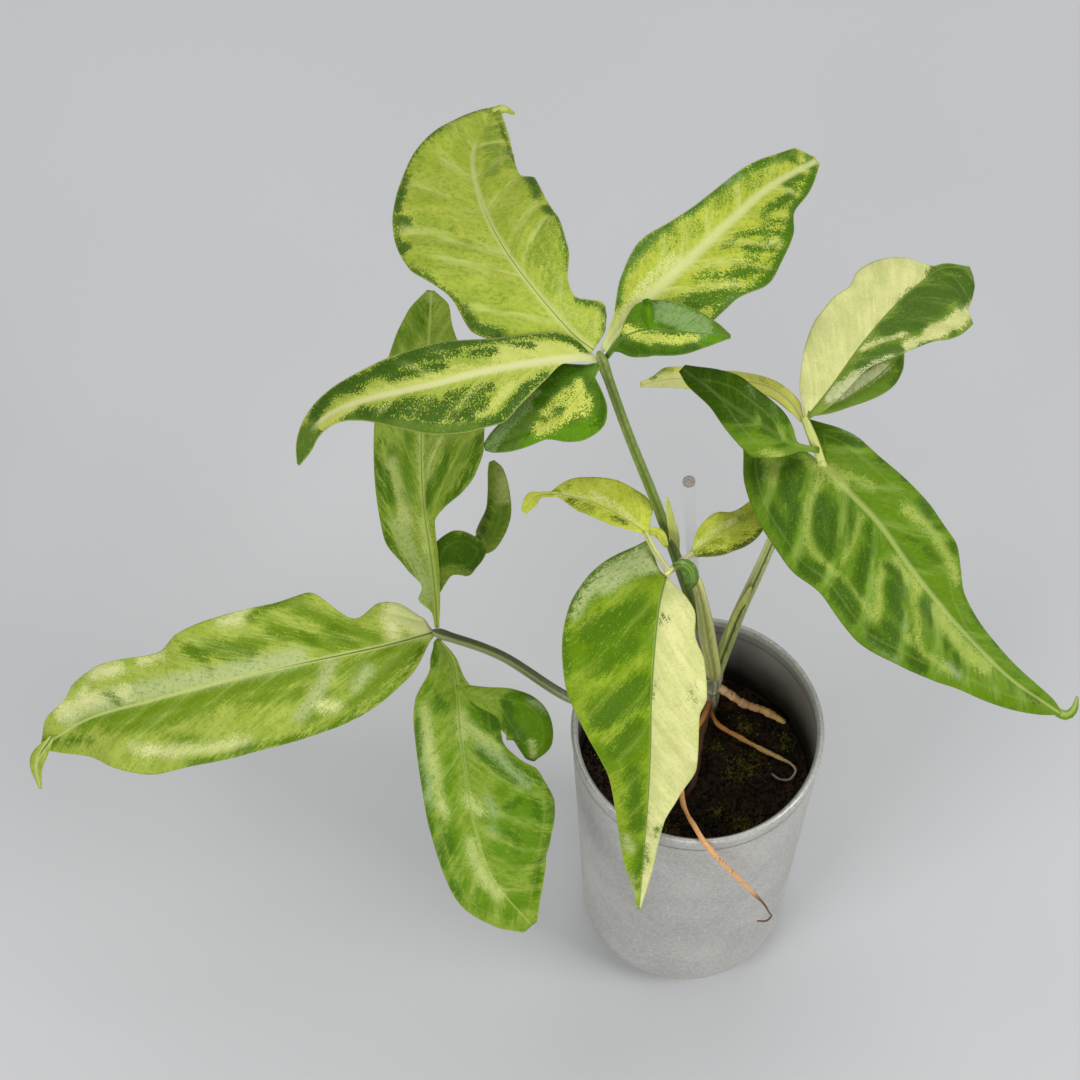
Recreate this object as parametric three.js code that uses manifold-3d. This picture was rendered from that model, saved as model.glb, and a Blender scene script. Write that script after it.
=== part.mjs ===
// A variegated arrowhead plant, Syngonium angustatum, rooted in a small zinc tumbler.
// Millimetres, +Z up, origin at the centre of the pot's underside, front of the plant towards -Y.
import * as THREE from "three";
import { mergeVertices } from "three/addons/utils/BufferGeometryUtils.js";
import Module from "manifold-3d";

// Pot
const POT_HEIGHT = 136;
const POT_RIM_RADIUS = 41;
const POT_TOP_RADIUS = 40.6;
const POT_BASE_RADIUS = 35.6;
const POT_CORNER_RADIUS = 12;
const POT_WALL = 0.8;
const BEAD_HEIGHT = 3;
const BEAD_INNER_RADIUS = 38.6;
const POT_SIDES = 40;

// Soil
const SOIL_LEVEL = 100;
const SOIL_ROUGHNESS = 0.5;
const SOIL_RINGS = 6;

// Stake
const STAKE_RADIUS = 2;

// Leaf tissue
const BLADE_THICKNESS = 0.7;
const BLADE_STEP = 8;
const BLADE_LEAST_STEPS = 5;
const BLADE_STEPS_ACROSS = 6;
const BROAD_BLADE = 12;
const HEEL_REACH = 0.3;
const HEEL_POWER = 1.5;

// Stalks and roots
const STALK_SIDES = 8;
const STALK_STEP = 7;

// Space left between pieces that touch
const GAP = 0.3;

const COLOURS = {
  zinc: { color: 0xa9aaa8, roughness: 0.5, metalness: 0.8 },
  soil: { color: 0x17120c, roughness: 0.95, metalness: 0 },
  clear: { color: 0xcfd2d0, roughness: 0.1, metalness: 0 },
  lime: { color: 0xa3b443, roughness: 0.45, metalness: 0 },
  marbled: { color: 0x7f9a3a, roughness: 0.45, metalness: 0 },
  dark: { color: 0x3d6420, roughness: 0.4, metalness: 0 },
  cream: { color: 0xd5d88f, roughness: 0.5, metalness: 0 },
  yellow: { color: 0xb4bd3e, roughness: 0.5, metalness: 0 },
  stalk: { color: 0x5f7a38, roughness: 0.5, metalness: 0 },
  paleStalk: { color: 0xa5b05a, roughness: 0.5, metalness: 0 },
  stem: { color: 0x8a8c6e, roughness: 0.7, metalness: 0 },
  root: { color: 0xc98d55, roughness: 0.7, metalness: 0 },
  oldRoot: { color: 0x6d4630, roughness: 0.8, metalness: 0 },
};

// Leaf blades, each from its base to its tip.
const BLADES = {
  topCentre: {
    midrib: [[-35, 59, 267], [-41.5, 62.5, 271], [-52.5, 75, 275], [-62, 91.5, 274], [-69, 113, 268],
      [-71.5, 138, 259], [-64.5, 164.5, 247]],
    faces: [[0, -0.3, 0.95], [0, -0.35, 0.94]],
    left: [[0, 1.5], [0.05, 3], [0.1, 9.5], [0.18, 21], [0.21, 23], [0.29, 21.8], [0.4, 28.5],
      [0.47, 29.2], [0.6, 25.5], [0.72, 19.5], [0.8, 13.5], [0.9, 8.5], [1, 0.6]],
    right: [[0, 9], [0.02, 13], [0.07, 13], [0.1, 10.5], [0.13, 8], [0.17, 9.5], [0.25, 16], [0.37, 19],
      [0.57, 18], [0.62, 14], [0.8, 12], [1, 0.6]],
    fold: 8,
    droop: 0.1,
    heel: [0, 0],
  },
  topCentreTip: {
    midrib: [[-68, 157, 250.5], [-63, 164, 247], [-59, 163.5, 245]],
    faces: [[0, -0.35, 0.94], [0, -0.35, 0.94]],
    left: [[0, 1.5], [0.5, 1.6], [1, 0.5]],
    right: [[0, 1.5], [0.5, 1.8], [1, 0.5]],
    fold: 0,
    droop: 0,
    heel: [0, 0],
  },
  topRight: {
    midrib: [[-31.8, 59.8, 267], [-25.5, 66.5, 271], [-16.5, 75.5, 274], [-6, 86.5, 275],
      [6.5, 101.5, 273], [19.5, 118, 268], [35, 134.5, 259]],
    faces: [[0, -0.3, 0.95], [0.1, -0.35, 0.94]],
    left: [[0, 1], [0.08, 3.5], [0.13, 7], [0.18, 10.3], [0.3, 14.2], [0.42, 12.4], [0.53, 10.6],
      [0.7, 10], [0.85, 8], [0.95, 7], [1, 1.5]],
    right: [[0, 1], [0.15, 3], [0.22, 12], [0.27, 18.5], [0.36, 18.5], [0.48, 22], [0.6, 19],
      [0.68, 16], [0.77, 10.8], [0.88, 8], [1, 1.5]],
    fold: 6,
    droop: 0.1,
    heel: [0, 0],
  },
  topRightEar: {
    midrib: [[-31.4, 58.2, 263.9], [-26.5, 60.4, 271.2], [-19.5, 61.8, 273.8], [-11.5, 61, 274],
      [-3, 61.3, 272.4], [5.5, 61.5, 270.5]],
    faces: [[0, -0.3, 0.95], [0.1, -0.35, 0.94]],
    left: [[0, 0.8], [0.2, 1.2], [0.28, 4.5], [0.37, 8.5], [0.45, 9], [0.55, 8.7], [0.7, 7.5],
      [0.9, 3.8], [1, 0.6]],
    right: [[0, 0.8], [0.1, 1], [0.14, 4.5], [0.2, 6.5], [0.4, 8.7], [0.63, 7.2], [0.82, 4.2], [1, 0.6]],
    fold: 8,
    droop: 0.1,
    heel: [0, 0],
  },
  topRightFlap: {
    midrib: [[-18.4, 61.3, 273.7], [-19, 63.4, 278], [-19.3, 66, 280.5], [-19.3, 67.8, 281.2]],
    faces: [[0, -0.78, 0.62], [0, -0.78, 0.62]],
    left: [[0, 4.2], [0.4, 2.8], [1, 2.2]],
    right: [[0, 4.2], [0.4, 2.8], [1, 2.2]],
    fold: -50,
    droop: 0.1,
    heel: [0, 0],
  },
  topLeft: {
    midrib: [[-35.2, 56.6, 266.3], [-42, 54, 270], [-54, 51, 272], [-68.5, 48.5, 271], [-83, 46, 268],
      [-98, 46, 262], [-110.5, 46.5, 254], [-119.5, 46, 243], [-124.5, 43, 228]],
    faces: [[-0.05, -0.35, 0.93], [-0.25, -0.4, 0.88]],
    left: [[0, 1], [0.09, 1.2], [0.15, 5.5], [0.22, 11], [0.29, 16.3], [0.36, 16.6], [0.45, 15],
      [0.56, 10.5], [0.67, 5.5], [0.76, 3.4], [0.9, 3], [1, 0.6]],
    right: [[0, 1], [0.05, 6.5], [0.1, 8.5], [0.27, 9.5], [0.42, 12.2], [0.56, 11], [0.74, 6.8],
      [0.87, 4.4], [0.95, 2.6], [1, 0.6]],
    fold: 6,
    droop: 0.15,
    heel: [0, 0],
  },
  topLeftEar: {
    midrib: [[-33.6, 55.3, 264.5], [-36.5, 50.5, 263], [-41.5, 44.5, 261], [-48, 40.5, 258],
      [-55.5, 38, 254], [-67.5, 37.5, 247]],
    faces: [[0, -0.3, 0.95], [-0.1, -0.35, 0.94]],
    left: [[0, 0.8], [0.08, 1], [0.12, 4], [0.16, 7], [0.2, 9.2], [0.3, 12], [0.38, 11.3], [0.47, 8.8],
      [0.6, 4.2], [0.8, 3.8], [0.95, 2.4], [1, 1]],
    right: [[0, 0.8], [0.04, 4], [0.08, 7.5], [0.14, 10.5], [0.35, 11.5], [0.6, 10.5], [0.86, 6],
      [0.95, 3.5], [1, 1.2]],
    fold: 6,
    droop: 0.2,
    heel: [0, 0],
  },
  leftCentre: {
    midrib: [[-85.4, 17.6, 167.2], [-98, 11.5, 171], [-113.5, 6.5, 173], [-132.5, 2.5, 172],
      [-153, -1, 168], [-174, -3.5, 161], [-194, -4.5, 151], [-211, -8.5, 138]],
    faces: [[0, -0.25, 0.95], [0, -0.35, 0.9]],
    left: [[0, 1.5], [0.1, 13], [0.22, 21], [0.28, 23], [0.45, 24.5], [0.68, 23.5], [0.82, 16.5],
      [0.92, 8], [1, 0.6]],
    right: [[0, 6], [0.05, 12], [0.1, 14], [0.17, 10.5], [0.27, 22], [0.36, 20.5], [0.45, 21],
      [0.58, 18.5], [0.64, 14.5], [0.78, 15.5], [0.85, 12.5], [0.88, 9], [0.95, 7], [1, 0.6]],
    fold: 7,
    droop: 0.08,
    heel: [0, 0],
  },
  leftCentreTip: {
    midrib: [[-207.5, -7.5, 142], [-212.5, -12, 134.5], [-212, -17.5, 126.5]],
    faces: [[0, -0.35, 0.94], [-0.3, -0.9, 0.2]],
    left: [[0, 1], [0.4, 2.5], [1, 0.5]],
    right: [[0, 1], [0.4, 2.5], [1, 0.5]],
    fold: 0,
    droop: 0,
    heel: [0, 0],
  },
  leftBack: {
    midrib: [[-83.6, 20.2, 168], [-84, 27.5, 171], [-85.5, 40, 175], [-88, 56, 179], [-89, 71, 182],
      [-89, 88.5, 184], [-87.5, 114, 184], [-87, 140, 180]],
    faces: [[0, -0.3, 0.95], [0, -0.35, 0.94]],
    left: [[0, 0.8], [0.03, 1.5], [0.075, 5.5], [0.1, 4], [0.15, 8], [0.25, 14], [0.5, 15.5],
      [0.62, 15], [0.82, 11], [0.92, 7.5], [1, 1.5]],
    right: [[0, 0.8], [0.15, 2.2], [0.27, 3], [0.31, 7], [0.35, 13], [0.4, 17.5], [0.48, 20.5],
      [0.55, 20.5], [0.62, 18.5], [0.75, 13], [0.87, 7.5], [0.95, 6], [1, 1]],
    fold: 8,
    droop: 0.1,
    heel: [0, 0],
  },
  leftBackLobe: {
    midrib: [[-84, 29.5, 171.6], [-79.5, 41, 170], [-74.5, 46.5, 167.5], [-68.5, 50.5, 164]],
    faces: [[0, -0.5, 0.86], [0.2, -0.5, 0.84]],
    left: [[0, 1], [0.25, 4], [0.42, 8], [0.65, 8.5], [0.88, 5], [1, 1.5]],
    right: [[0, 1], [0.3, 2], [0.45, 5], [0.7, 7], [0.9, 4.5], [1, 1.5]],
    fold: 4,
    droop: 0.2,
    heel: [0, 0],
  },
  leftBackEar: {
    midrib: [[-71.5, 48.5, 165], [-67, 54, 161.5], [-64, 65.5, 158], [-64, 75, 156.5], [-65, 83, 155.5],
      [-67, 89.5, 154]],
    faces: [[0.1, -0.5, 0.85], [0, -0.5, 0.85]],
    left: [[0, 1], [0.08, 5], [0.3, 6], [0.6, 4.5], [0.9, 3], [1, 1]],
    right: [[0, 1], [0.15, 2.5], [0.5, 3.5], [0.9, 2.5], [1, 1]],
    fold: 4,
    droop: 0.2,
    heel: [0, 0],
  },
  leftFront: {
    midrib: [[-83, 15.6, 165.6], [-78.5, 8, 166], [-77, -1, 164], [-76, -13, 160], [-74, -26.5, 152],
      [-71.5, -38.5, 144], [-65.5, -51.5, 131], [-53.5, -60.5, 116]],
    faces: [[0, -0.25, 0.95], [0, -0.55, 0.82]],
    left: [[0, 0.8], [0.12, 2], [0.18, 5], [0.23, 12.5], [0.35, 13], [0.42, 18], [0.46, 23],
      [0.58, 26.5], [0.72, 22], [0.85, 17], [0.95, 7], [1, 2]],
    right: [[0, 2], [0.04, 6], [0.12, 9], [0.2, 13.5], [0.28, 14.5], [0.78, 13.5], [0.92, 9], [1, 3.5]],
    fold: 8,
    droop: 0.1,
    heel: [0, 0],
  },
  leftFrontEar: {
    midrib: [[-77, -1, 164.3], [-68, -5, 166], [-60.5, -7, 166], [-53.5, -10, 162], [-51, -15.5, 157],
      [-53.5, -20, 152]],
    faces: [[-0.1, -0.35, 0.93], [0.3, -0.7, 0.6]],
    left: [[0, 2], [0.3, 4], [0.6, 5.5], [0.85, 4.5], [1, 1]],
    right: [[0, 1], [0.17, 4], [0.33, 5], [0.5, 9], [0.75, 10], [0.9, 8], [1, 2]],
    fold: -4,
    droop: 0.25,
    heel: [0, 0],
  },
  rightCentre: {
    midrib: [[36.5, 43, 226], [41.5, 35.5, 227], [51.5, 24, 225], [61.5, 12, 218], [72, 2.5, 209],
      [82.5, -5, 200], [93.5, -11.5, 191], [109.5, -17.5, 180]],
    faces: [[0, -0.35, 0.93], [0, -0.55, 0.83]],
    left: [[0, 6.5], [0.04, 11], [0.1, 14.2], [0.2, 15], [0.28, 16.2], [0.38, 15.8], [0.46, 12],
      [0.54, 7.8], [0.65, 5.2], [0.8, 4.2], [0.95, 2.5], [1, 0.6]],
    right: [[0, 13.5], [0.06, 22.5], [0.12, 27.5], [0.2, 29.8], [0.3, 27.3], [0.42, 27], [0.55, 21.8],
      [0.65, 17], [0.72, 13.2], [0.8, 10], [0.87, 7.5], [0.94, 4.2], [1, 0.6]],
    fold: 8,
    droop: 0.1,
    heel: [19, 29],
    heelPower: 0.5,
  },
  rightCentreTip: {
    midrib: [[107, -16.5, 181.5], [111, -17.5, 179.5], [113.5, -16, 180.5], [114.5, -13, 183]],
    faces: [[0, -0.55, 0.83], [0, -0.8, 0.6]],
    left: [[0, 1], [0.4, 1.2], [1, 0.4]],
    right: [[0, 1.5], [0.4, 1.8], [1, 0.4]],
    fold: 0,
    droop: 0,
    heel: [0, 0],
  },
  rightDark: {
    midrib: [[33.5, 47.8, 228.8], [26.5, 47.5, 232], [19, 51, 235], [11.5, 56, 236], [3.5, 63.5, 235],
      [-7, 76, 231]],
    faces: [[0, -0.35, 0.93], [-0.15, -0.35, 0.93]],
    left: [[0, 1], [0.1, 1.2], [0.15, 3.4], [0.2, 6], [0.26, 8.4], [0.32, 10], [0.38, 9.5], [0.5, 7.6],
      [0.7, 4.2], [0.88, 3.4], [1, 1.5]],
    right: [[0, 1], [0.12, 1.1], [0.2, 4.4], [0.33, 7.6], [0.46, 8.6], [0.62, 8.9], [0.8, 6.4],
      [0.92, 3.5], [1, 1.5]],
    fold: 8,
    droop: 0.12,
    heel: [0, 0],
  },
  rightYellow: {
    midrib: [[29, 58, 230.5], [26, 63.5, 231], [20, 69.5, 230], [11, 73.5, 228], [0.5, 76, 225],
      [-10.5, 78.5, 221], [-19.5, 79.5, 216]],
    faces: [[0, -0.3, 0.94], [0, -0.3, 0.94]],
    left: [[0, 0.8], [0.1, 2.5], [0.7, 3.5], [0.85, 2.5], [1, 0.8]],
    right: [[0, 0.8], [0.1, 2.5], [0.6, 3], [0.85, 4], [0.92, 2], [1, 1]],
    fold: 4,
    droop: 0.1,
    heel: [0, 0],
  },
  rightUpper: {
    midrib: [[30.9, 57.7, 232.2], [38, 65.5, 236.5], [46.5, 77, 240], [56.5, 90, 241],
      [66, 100.5, 240.5], [74.5, 108, 239], [84, 111, 234]],
    faces: [[0, -0.3, 0.94], [0.15, -0.25, 0.94]],
    left: [[0, 1], [0.03, 4.6], [0.08, 8.4], [0.15, 11.6], [0.25, 14.7], [0.34, 16.2], [0.42, 16.2],
      [0.51, 14.6], [0.58, 16], [0.64, 15.2], [0.7, 12.7], [0.75, 9.3], [0.79, 5], [0.83, 1.6], [1, 1]],
    right: [[0, 1], [0.06, 3], [0.28, 6], [0.4, 10.5], [0.48, 13.6], [0.56, 16.5], [0.64, 20],
      [0.72, 21], [0.83, 20.5], [0.92, 17.5], [0.97, 12], [1, 6.5]],
    fold: 10,
    droop: 0.14,
    heel: [0, 0],
  },
  rightUpperLobe: {
    midrib: [[32, 58.6, 232.8], [38.5, 62, 231], [45, 67, 229.5], [53, 74, 228.5], [62, 84.5, 227]],
    faces: [[0, -0.3, 0.94], [0.15, -0.3, 0.94]],
    left: [[0, 1], [0.28, 3], [0.55, 4], [0.85, 3], [1, 0.8]],
    right: [[0, 1.2], [0.28, 2.5], [0.7, 5.5], [0.88, 4], [1, 0.8]],
    fold: 6,
    droop: 0.1,
    heel: [0, 0],
  },
  frontCentre: {
    midrib: [[-12.5, 16, 205], [-14.5, 6.5, 206], [-16, -5.5, 202], [-17, -19, 192], [-17, -29, 178],
      [-17.5, -39, 160], [-18.5, -48.5, 140], [-19.5, -58, 123]],
    faces: [[0, -0.4, 0.92], [0, -0.8, 0.6]],
    left: [[0, 1.5], [0.04, 7.5], [0.1, 11.5], [0.15, 12], [0.22, 15.5], [0.32, 17], [0.38, 15],
      [0.52, 14.5], [0.62, 9.5], [0.7, 5.5], [0.85, 3.5], [1, 0.5]],
    right: [[0, 8], [0.05, 16], [0.1, 23.5], [0.15, 27.5], [0.2, 28.5], [0.29, 27], [0.43, 19.5],
      [0.57, 12.5], [0.83, 6.5], [0.95, 2], [1, 0.5]],
    fold: 8,
    droop: 0.1,
    heel: [0, 15],
  },
  frontLeft: {
    midrib: [[-18.5, 31.5, 207], [-23, 34.5, 208], [-29.5, 39, 208], [-35.5, 42.5, 207],
      [-41.5, 45.5, 205], [-47.5, 48.5, 202]],
    faces: [[0, -0.35, 0.93], [0, -0.35, 0.93]],
    left: [[0, 1], [0.4, 4.5], [0.65, 4], [0.9, 1.2], [1, 0.5]],
    right: [[0, 4], [0.08, 8], [0.2, 9.5], [0.35, 9.5], [0.78, 6.5], [0.92, 3.5], [1, 0.5]],
    fold: 6,
    droop: 0.12,
    heel: [0, 0],
  },
  frontLeftTip: {
    midrib: [[-46, 47.5, 203], [-50.5, 49, 200], [-53.5, 49, 197], [-56, 45.5, 195]],
    faces: [[0, -0.35, 0.93], [-0.2, -0.5, 0.8]],
    left: [[0, 0.8], [0.4, 1], [0.65, 2.3], [1, 1]],
    right: [[0, 0.8], [0.4, 1], [0.65, 2.3], [1, 1]],
    fold: 0,
    droop: 0,
    heel: [0, 0],
  },
  frontLeftDry: {
    midrib: [[-19, 32, 207], [-15.5, 32, 206.5], [-13.5, 31, 205.5], [-11.8, 28.5, 203]],
    faces: [[0, -0.5, 0.85], [0.3, -0.5, 0.7]],
    left: [[0, 0.8], [0.5, 1.6], [0.8, 1.2], [1, 0.6]],
    right: [[0, 0.8], [0.5, 1.6], [0.8, 1.2], [1, 0.6]],
    fold: 0,
    droop: 0,
    heel: [0, 0],
  },
  frontRight: {
    midrib: [[-3.5, 26, 204], [0, 28.5, 205], [5.5, 32, 206], [11, 37, 204], [16.5, 45, 201]],
    faces: [[0, -0.35, 0.93], [0.1, -0.35, 0.93]],
    left: [[0, 1], [0.22, 5.5], [0.38, 6.5], [0.6, 4.5], [0.8, 3], [1, 2]],
    right: [[0, 2], [0.12, 4.5], [0.3, 6.5], [0.65, 7.5], [0.92, 5.5], [1, 2]],
    fold: 8,
    droop: 0.12,
    heel: [0, 0],
  },
  frontCurl: {
    midrib: [[-9.5, 19.5, 207.5], [-7, 19, 209], [-4.8, 17.5, 208], [-4, 16, 204], [-5, 15.5, 199]],
    faces: [[0, -0.5, 0.86], [0.4, -0.6, 0.6]],
    left: [[0, 0.8], [0.3, 2], [0.8, 2], [1, 1]],
    right: [[0, 0.8], [0.25, 3], [0.6, 3], [1, 1]],
    fold: 5,
    droop: 0.1,
    heel: [0, 0],
  },
};

const wasm = await Module();
wasm.setup();

// Smooth value through [t, value] pairs that neither overshoots nor dips between them.
function between(pairs, t) {
  const slopes = [];
  for (let i = 0; i < pairs.length - 1; i += 1) {
    slopes.push((pairs[i + 1][1] - pairs[i][1]) / (pairs[i + 1][0] - pairs[i][0]));
  }
  const tangent = (i) => {
    if (i === 0) return slopes[0];
    if (i === pairs.length - 1) return slopes[i - 1];
    const product = slopes[i - 1] * slopes[i];
    return product > 0 ? (2 * product) / (slopes[i - 1] + slopes[i]) : 0;
  };
  let k = 0;
  while (k < pairs.length - 2 && t >= pairs[k + 1][0]) k += 1;
  const span = pairs[k + 1][0] - pairs[k][0];
  const u = (t - pairs[k][0]) / span;
  const rise = u * u * (3 - 2 * u);
  const leave = u * (1 - u) * (1 - u) * span * tangent(k);
  const arrive = u * u * (u - 1) * span * tangent(k + 1);
  return pairs[k][1] * (1 - rise) + pairs[k + 1][1] * rise + leave + arrive;
}

function curveThrough(points) {
  const vectors = points.map((p) => new THREE.Vector3(...p));
  return new THREE.CatmullRomCurve3(vectors, false, "catmullrom", 0.5);
}

// A leaf blade: a thin sheet on its midrib, seen from base to tip with the upper face up.
// left and right are half widths in mm at fractions of the length, fold lifts each half from
// the midrib, droop bends the margins down, and heel sweeps the base of each half backwards,
// more of it close to the midrib where heelPower is small.
function bladeGeometry(leaflet, extra = 0) {
  const path = curveThrough(leaflet.midrib);
  const length = path.getLength();
  const face0 = new THREE.Vector3(...leaflet.faces[0]);
  const face1 = new THREE.Vector3(...leaflet.faces[1]);
  const fold = THREE.MathUtils.degToRad(leaflet.fold);
  const widest = Math.max(...leaflet.left.concat(leaflet.right).map((pair) => pair[1]));
  const across = widest > BROAD_BLADE ? BLADE_STEPS_ACROSS : BLADE_STEPS_ACROSS - 2;
  const along = Math.max(BLADE_LEAST_STEPS, Math.round(length / BLADE_STEP));
  const sheet = new THREE.BoxGeometry(2, 1, 1, across, along, 1);
  const position = sheet.attributes.position;
  for (let i = 0; i < position.count; i += 1) {
    const t = position.getY(i) + 0.5;
    const offset = position.getX(i);
    const side = offset < 0 ? 0 : 1;
    const reach = Math.abs(offset);
    const tangent = path.getTangentAt(t);
    const normal = face0.clone().lerp(face1, t);
    normal.addScaledVector(tangent, -normal.dot(tangent)).normalize();
    const sideways = new THREE.Vector3().crossVectors(tangent, normal);
    const width = between(side === 0 ? leaflet.left : leaflet.right, t) + extra;
    const heel = leaflet.heel[side] * Math.max(0, 1 - t / HEEL_REACH) ** 2;
    const lift = width * (reach * Math.sin(fold) - leaflet.droop * reach * reach);
    const point = path.getPointAt(t);
    point.addScaledVector(sideways, offset * width * Math.cos(fold));
    point.addScaledVector(normal, lift + position.getZ(i) * (BLADE_THICKNESS + 2 * extra));
    const power = leaflet.heelPower ?? HEEL_POWER;
    point.addScaledVector(tangent, extra * (2 * t - 1) - heel * reach ** power);
    position.setXYZ(i, point.x, point.y, point.z);
  }
  return sheet;
}

// A round stalk or root along a path, its radius given at fractions of the length.
function stalkGeometry(points, radii, extra = 0, step = STALK_STEP) {
  const path = curveThrough(points);
  const steps = Math.max(2, Math.round(path.getLength() / step));
  const frames = path.computeFrenetFrames(steps);
  const tube = new THREE.CylinderGeometry(1, 1, 1, STALK_SIDES, steps);
  const position = tube.attributes.position;
  for (let i = 0; i < position.count; i += 1) {
    const t = position.getY(i) + 0.5;
    const frame = Math.round(t * steps);
    const radius = between(radii, t) + extra;
    const point = path.getPointAt(t);
    point.addScaledVector(frames.tangents[frame], extra * (2 * t - 1));
    point.addScaledVector(frames.normals[frame], position.getX(i) * radius);
    point.addScaledVector(frames.binormals[frame], -position.getZ(i) * radius);
    position.setXYZ(i, point.x, point.y, point.z);
  }
  return tube;
}

function solid(geometry) {
  const plain = geometry.clone();
  plain.deleteAttribute("normal");
  plain.deleteAttribute("uv");
  const merged = mergeVertices(plain);
  return new wasm.Manifold(new wasm.Mesh({
    numProp: 3,
    vertProperties: merged.attributes.position.array,
    triVerts: merged.index.array,
  }));
}

function geometryOf(manifold) {
  const mesh = manifold.getMesh();
  const geometry = new THREE.BufferGeometry();
  geometry.setAttribute("position", new THREE.BufferAttribute(mesh.vertProperties, 3));
  geometry.setIndex(new THREE.BufferAttribute(mesh.triVerts, 1));
  geometry.computeVertexNormals();
  return geometry;
}

const plant = new THREE.Group();

function addPiece(name, geometry, colour) {
  const material = new THREE.MeshStandardMaterial(COLOURS[colour]);
  const piece = new THREE.Mesh(geometry, material);
  piece.name = name;
  plant.add(piece);
}

// Pot: one pressed tumbler, its wall tapering down to a rounded base, its rim rolled into a bead.
function potWallRadius(z) {
  const share = (z - POT_CORNER_RADIUS) / (POT_HEIGHT - BEAD_HEIGHT - POT_CORNER_RADIUS);
  return THREE.MathUtils.lerp(POT_BASE_RADIUS, POT_TOP_RADIUS, share);
}

function cornerArc(inset, steps, fromWall) {
  const centre = POT_BASE_RADIUS - POT_CORNER_RADIUS;
  const radius = POT_CORNER_RADIUS - inset;
  const points = [];
  for (let i = 0; i <= steps; i += 1) {
    const angle = (Math.PI / 2) * (fromWall ? 1 - i / steps : i / steps);
    points.push(new THREE.Vector2(
      centre + radius * Math.sin(angle),
      POT_CORNER_RADIUS - radius * Math.cos(angle),
    ));
  }
  return points;
}

function potGeometry() {
  const beadFoot = POT_HEIGHT - BEAD_HEIGHT;
  const beadMiddle = POT_HEIGHT - BEAD_HEIGHT / 2;
  const beadTop = (POT_RIM_RADIUS + BEAD_INNER_RADIUS) / 2;
  const profile = [
    new THREE.Vector2(0, 0),
    ...cornerArc(0, 4, false),
    new THREE.Vector2(POT_TOP_RADIUS, beadFoot),
    new THREE.Vector2(POT_RIM_RADIUS, beadMiddle),
    new THREE.Vector2(beadTop + 0.4, POT_HEIGHT),
    new THREE.Vector2(beadTop - 0.4, POT_HEIGHT),
    new THREE.Vector2(BEAD_INNER_RADIUS, beadMiddle),
    new THREE.Vector2(potWallRadius(beadFoot) - POT_WALL, beadFoot),
    ...cornerArc(POT_WALL, 4, true),
    new THREE.Vector2(0, POT_WALL),
  ];
  return new THREE.LatheGeometry(profile, POT_SIDES).rotateX(Math.PI / 2);
}
addPiece("pot", potGeometry(), "zinc");

// Soil: one firm plug filling the pot, its uneven top a little below the rim.
function soilTop(x, y) {
  const wave = Math.sin(x / 5) * Math.cos(y / 6) + Math.sin((x + y) / 11) * Math.cos((x - y) / 8);
  return SOIL_LEVEL + (SOIL_ROUGHNESS * wave) / 2;
}

function soilGeometry() {
  const inset = POT_WALL + GAP;
  const edge = potWallRadius(SOIL_LEVEL) - inset;
  const profile = [new THREE.Vector2(0, inset), ...cornerArc(inset, 4, false)];
  for (let ring = SOIL_RINGS; ring >= 0; ring -= 1) {
    profile.push(new THREE.Vector2((edge * ring) / SOIL_RINGS, SOIL_LEVEL));
  }
  const plug = new THREE.LatheGeometry(profile, POT_SIDES).rotateX(Math.PI / 2);
  const position = plug.attributes.position;
  for (let i = 0; i < position.count; i += 1) {
    if (position.getZ(i) > SOIL_LEVEL - GAP) {
      position.setZ(i, soilTop(position.getX(i), position.getY(i)));
    }
  }
  return plug;
}

// Stake: a clear rod pushed into the soil behind the stem to hold the top leaf up.
const STAKE_PATH = [[4.7, 34, 62], [-0.6, 34, 148], [-6, 34, 233.5]];
const STAKE_RADII = [[0, STAKE_RADIUS], [0.99, STAKE_RADIUS], [1, STAKE_RADIUS / 2]];
const STAKE_STEP = 60;

// Stem: a short cut length standing on the soil, swollen where the stalks leave it.
const STEM_PATH = [[6.5, 25, 101], [6.5, 26, 112], [6.7, 27, 127]];
const STEM_RADII = [[0, 2.3], [0.5, 2.6], [0.75, 3], [1, 2.5]];

// Leaf stalks. Each starts inside the stem, is cut back to its surface and clasps it.
const FRONT_STALK = [
  [6.3, 25, 124], [5.3, 22.3, 138], [3, 21, 156], [0.5, 20.5, 177], [-2, 20, 194], [-5, 20.5, 203],
  [-7.2, 22.8, 204],
];
const FRONT_STALK_RADII = [[0, 2.4], [0.2, 2.5], [0.45, 2.8], [0.72, 2.1], [0.95, 1.6], [1, 1.3]];
const FRONT_TO_CENTRE = [[-7, 22.8, 204], [-9.5, 20, 205.6], [-12.2, 17.3, 205.6]];
const FRONT_TO_LEFT = [[-11.5, 18.4, 205.9], [-15.5, 24.5, 207], [-18, 30.6, 207]];
const FRONT_TO_RIGHT = [[-7, 22.8, 204], [-4.3, 25.3, 204]];
const FRONT_BRANCH_RADII = [[0, 1.2], [0.4, 1], [1, 0.9]];

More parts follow.
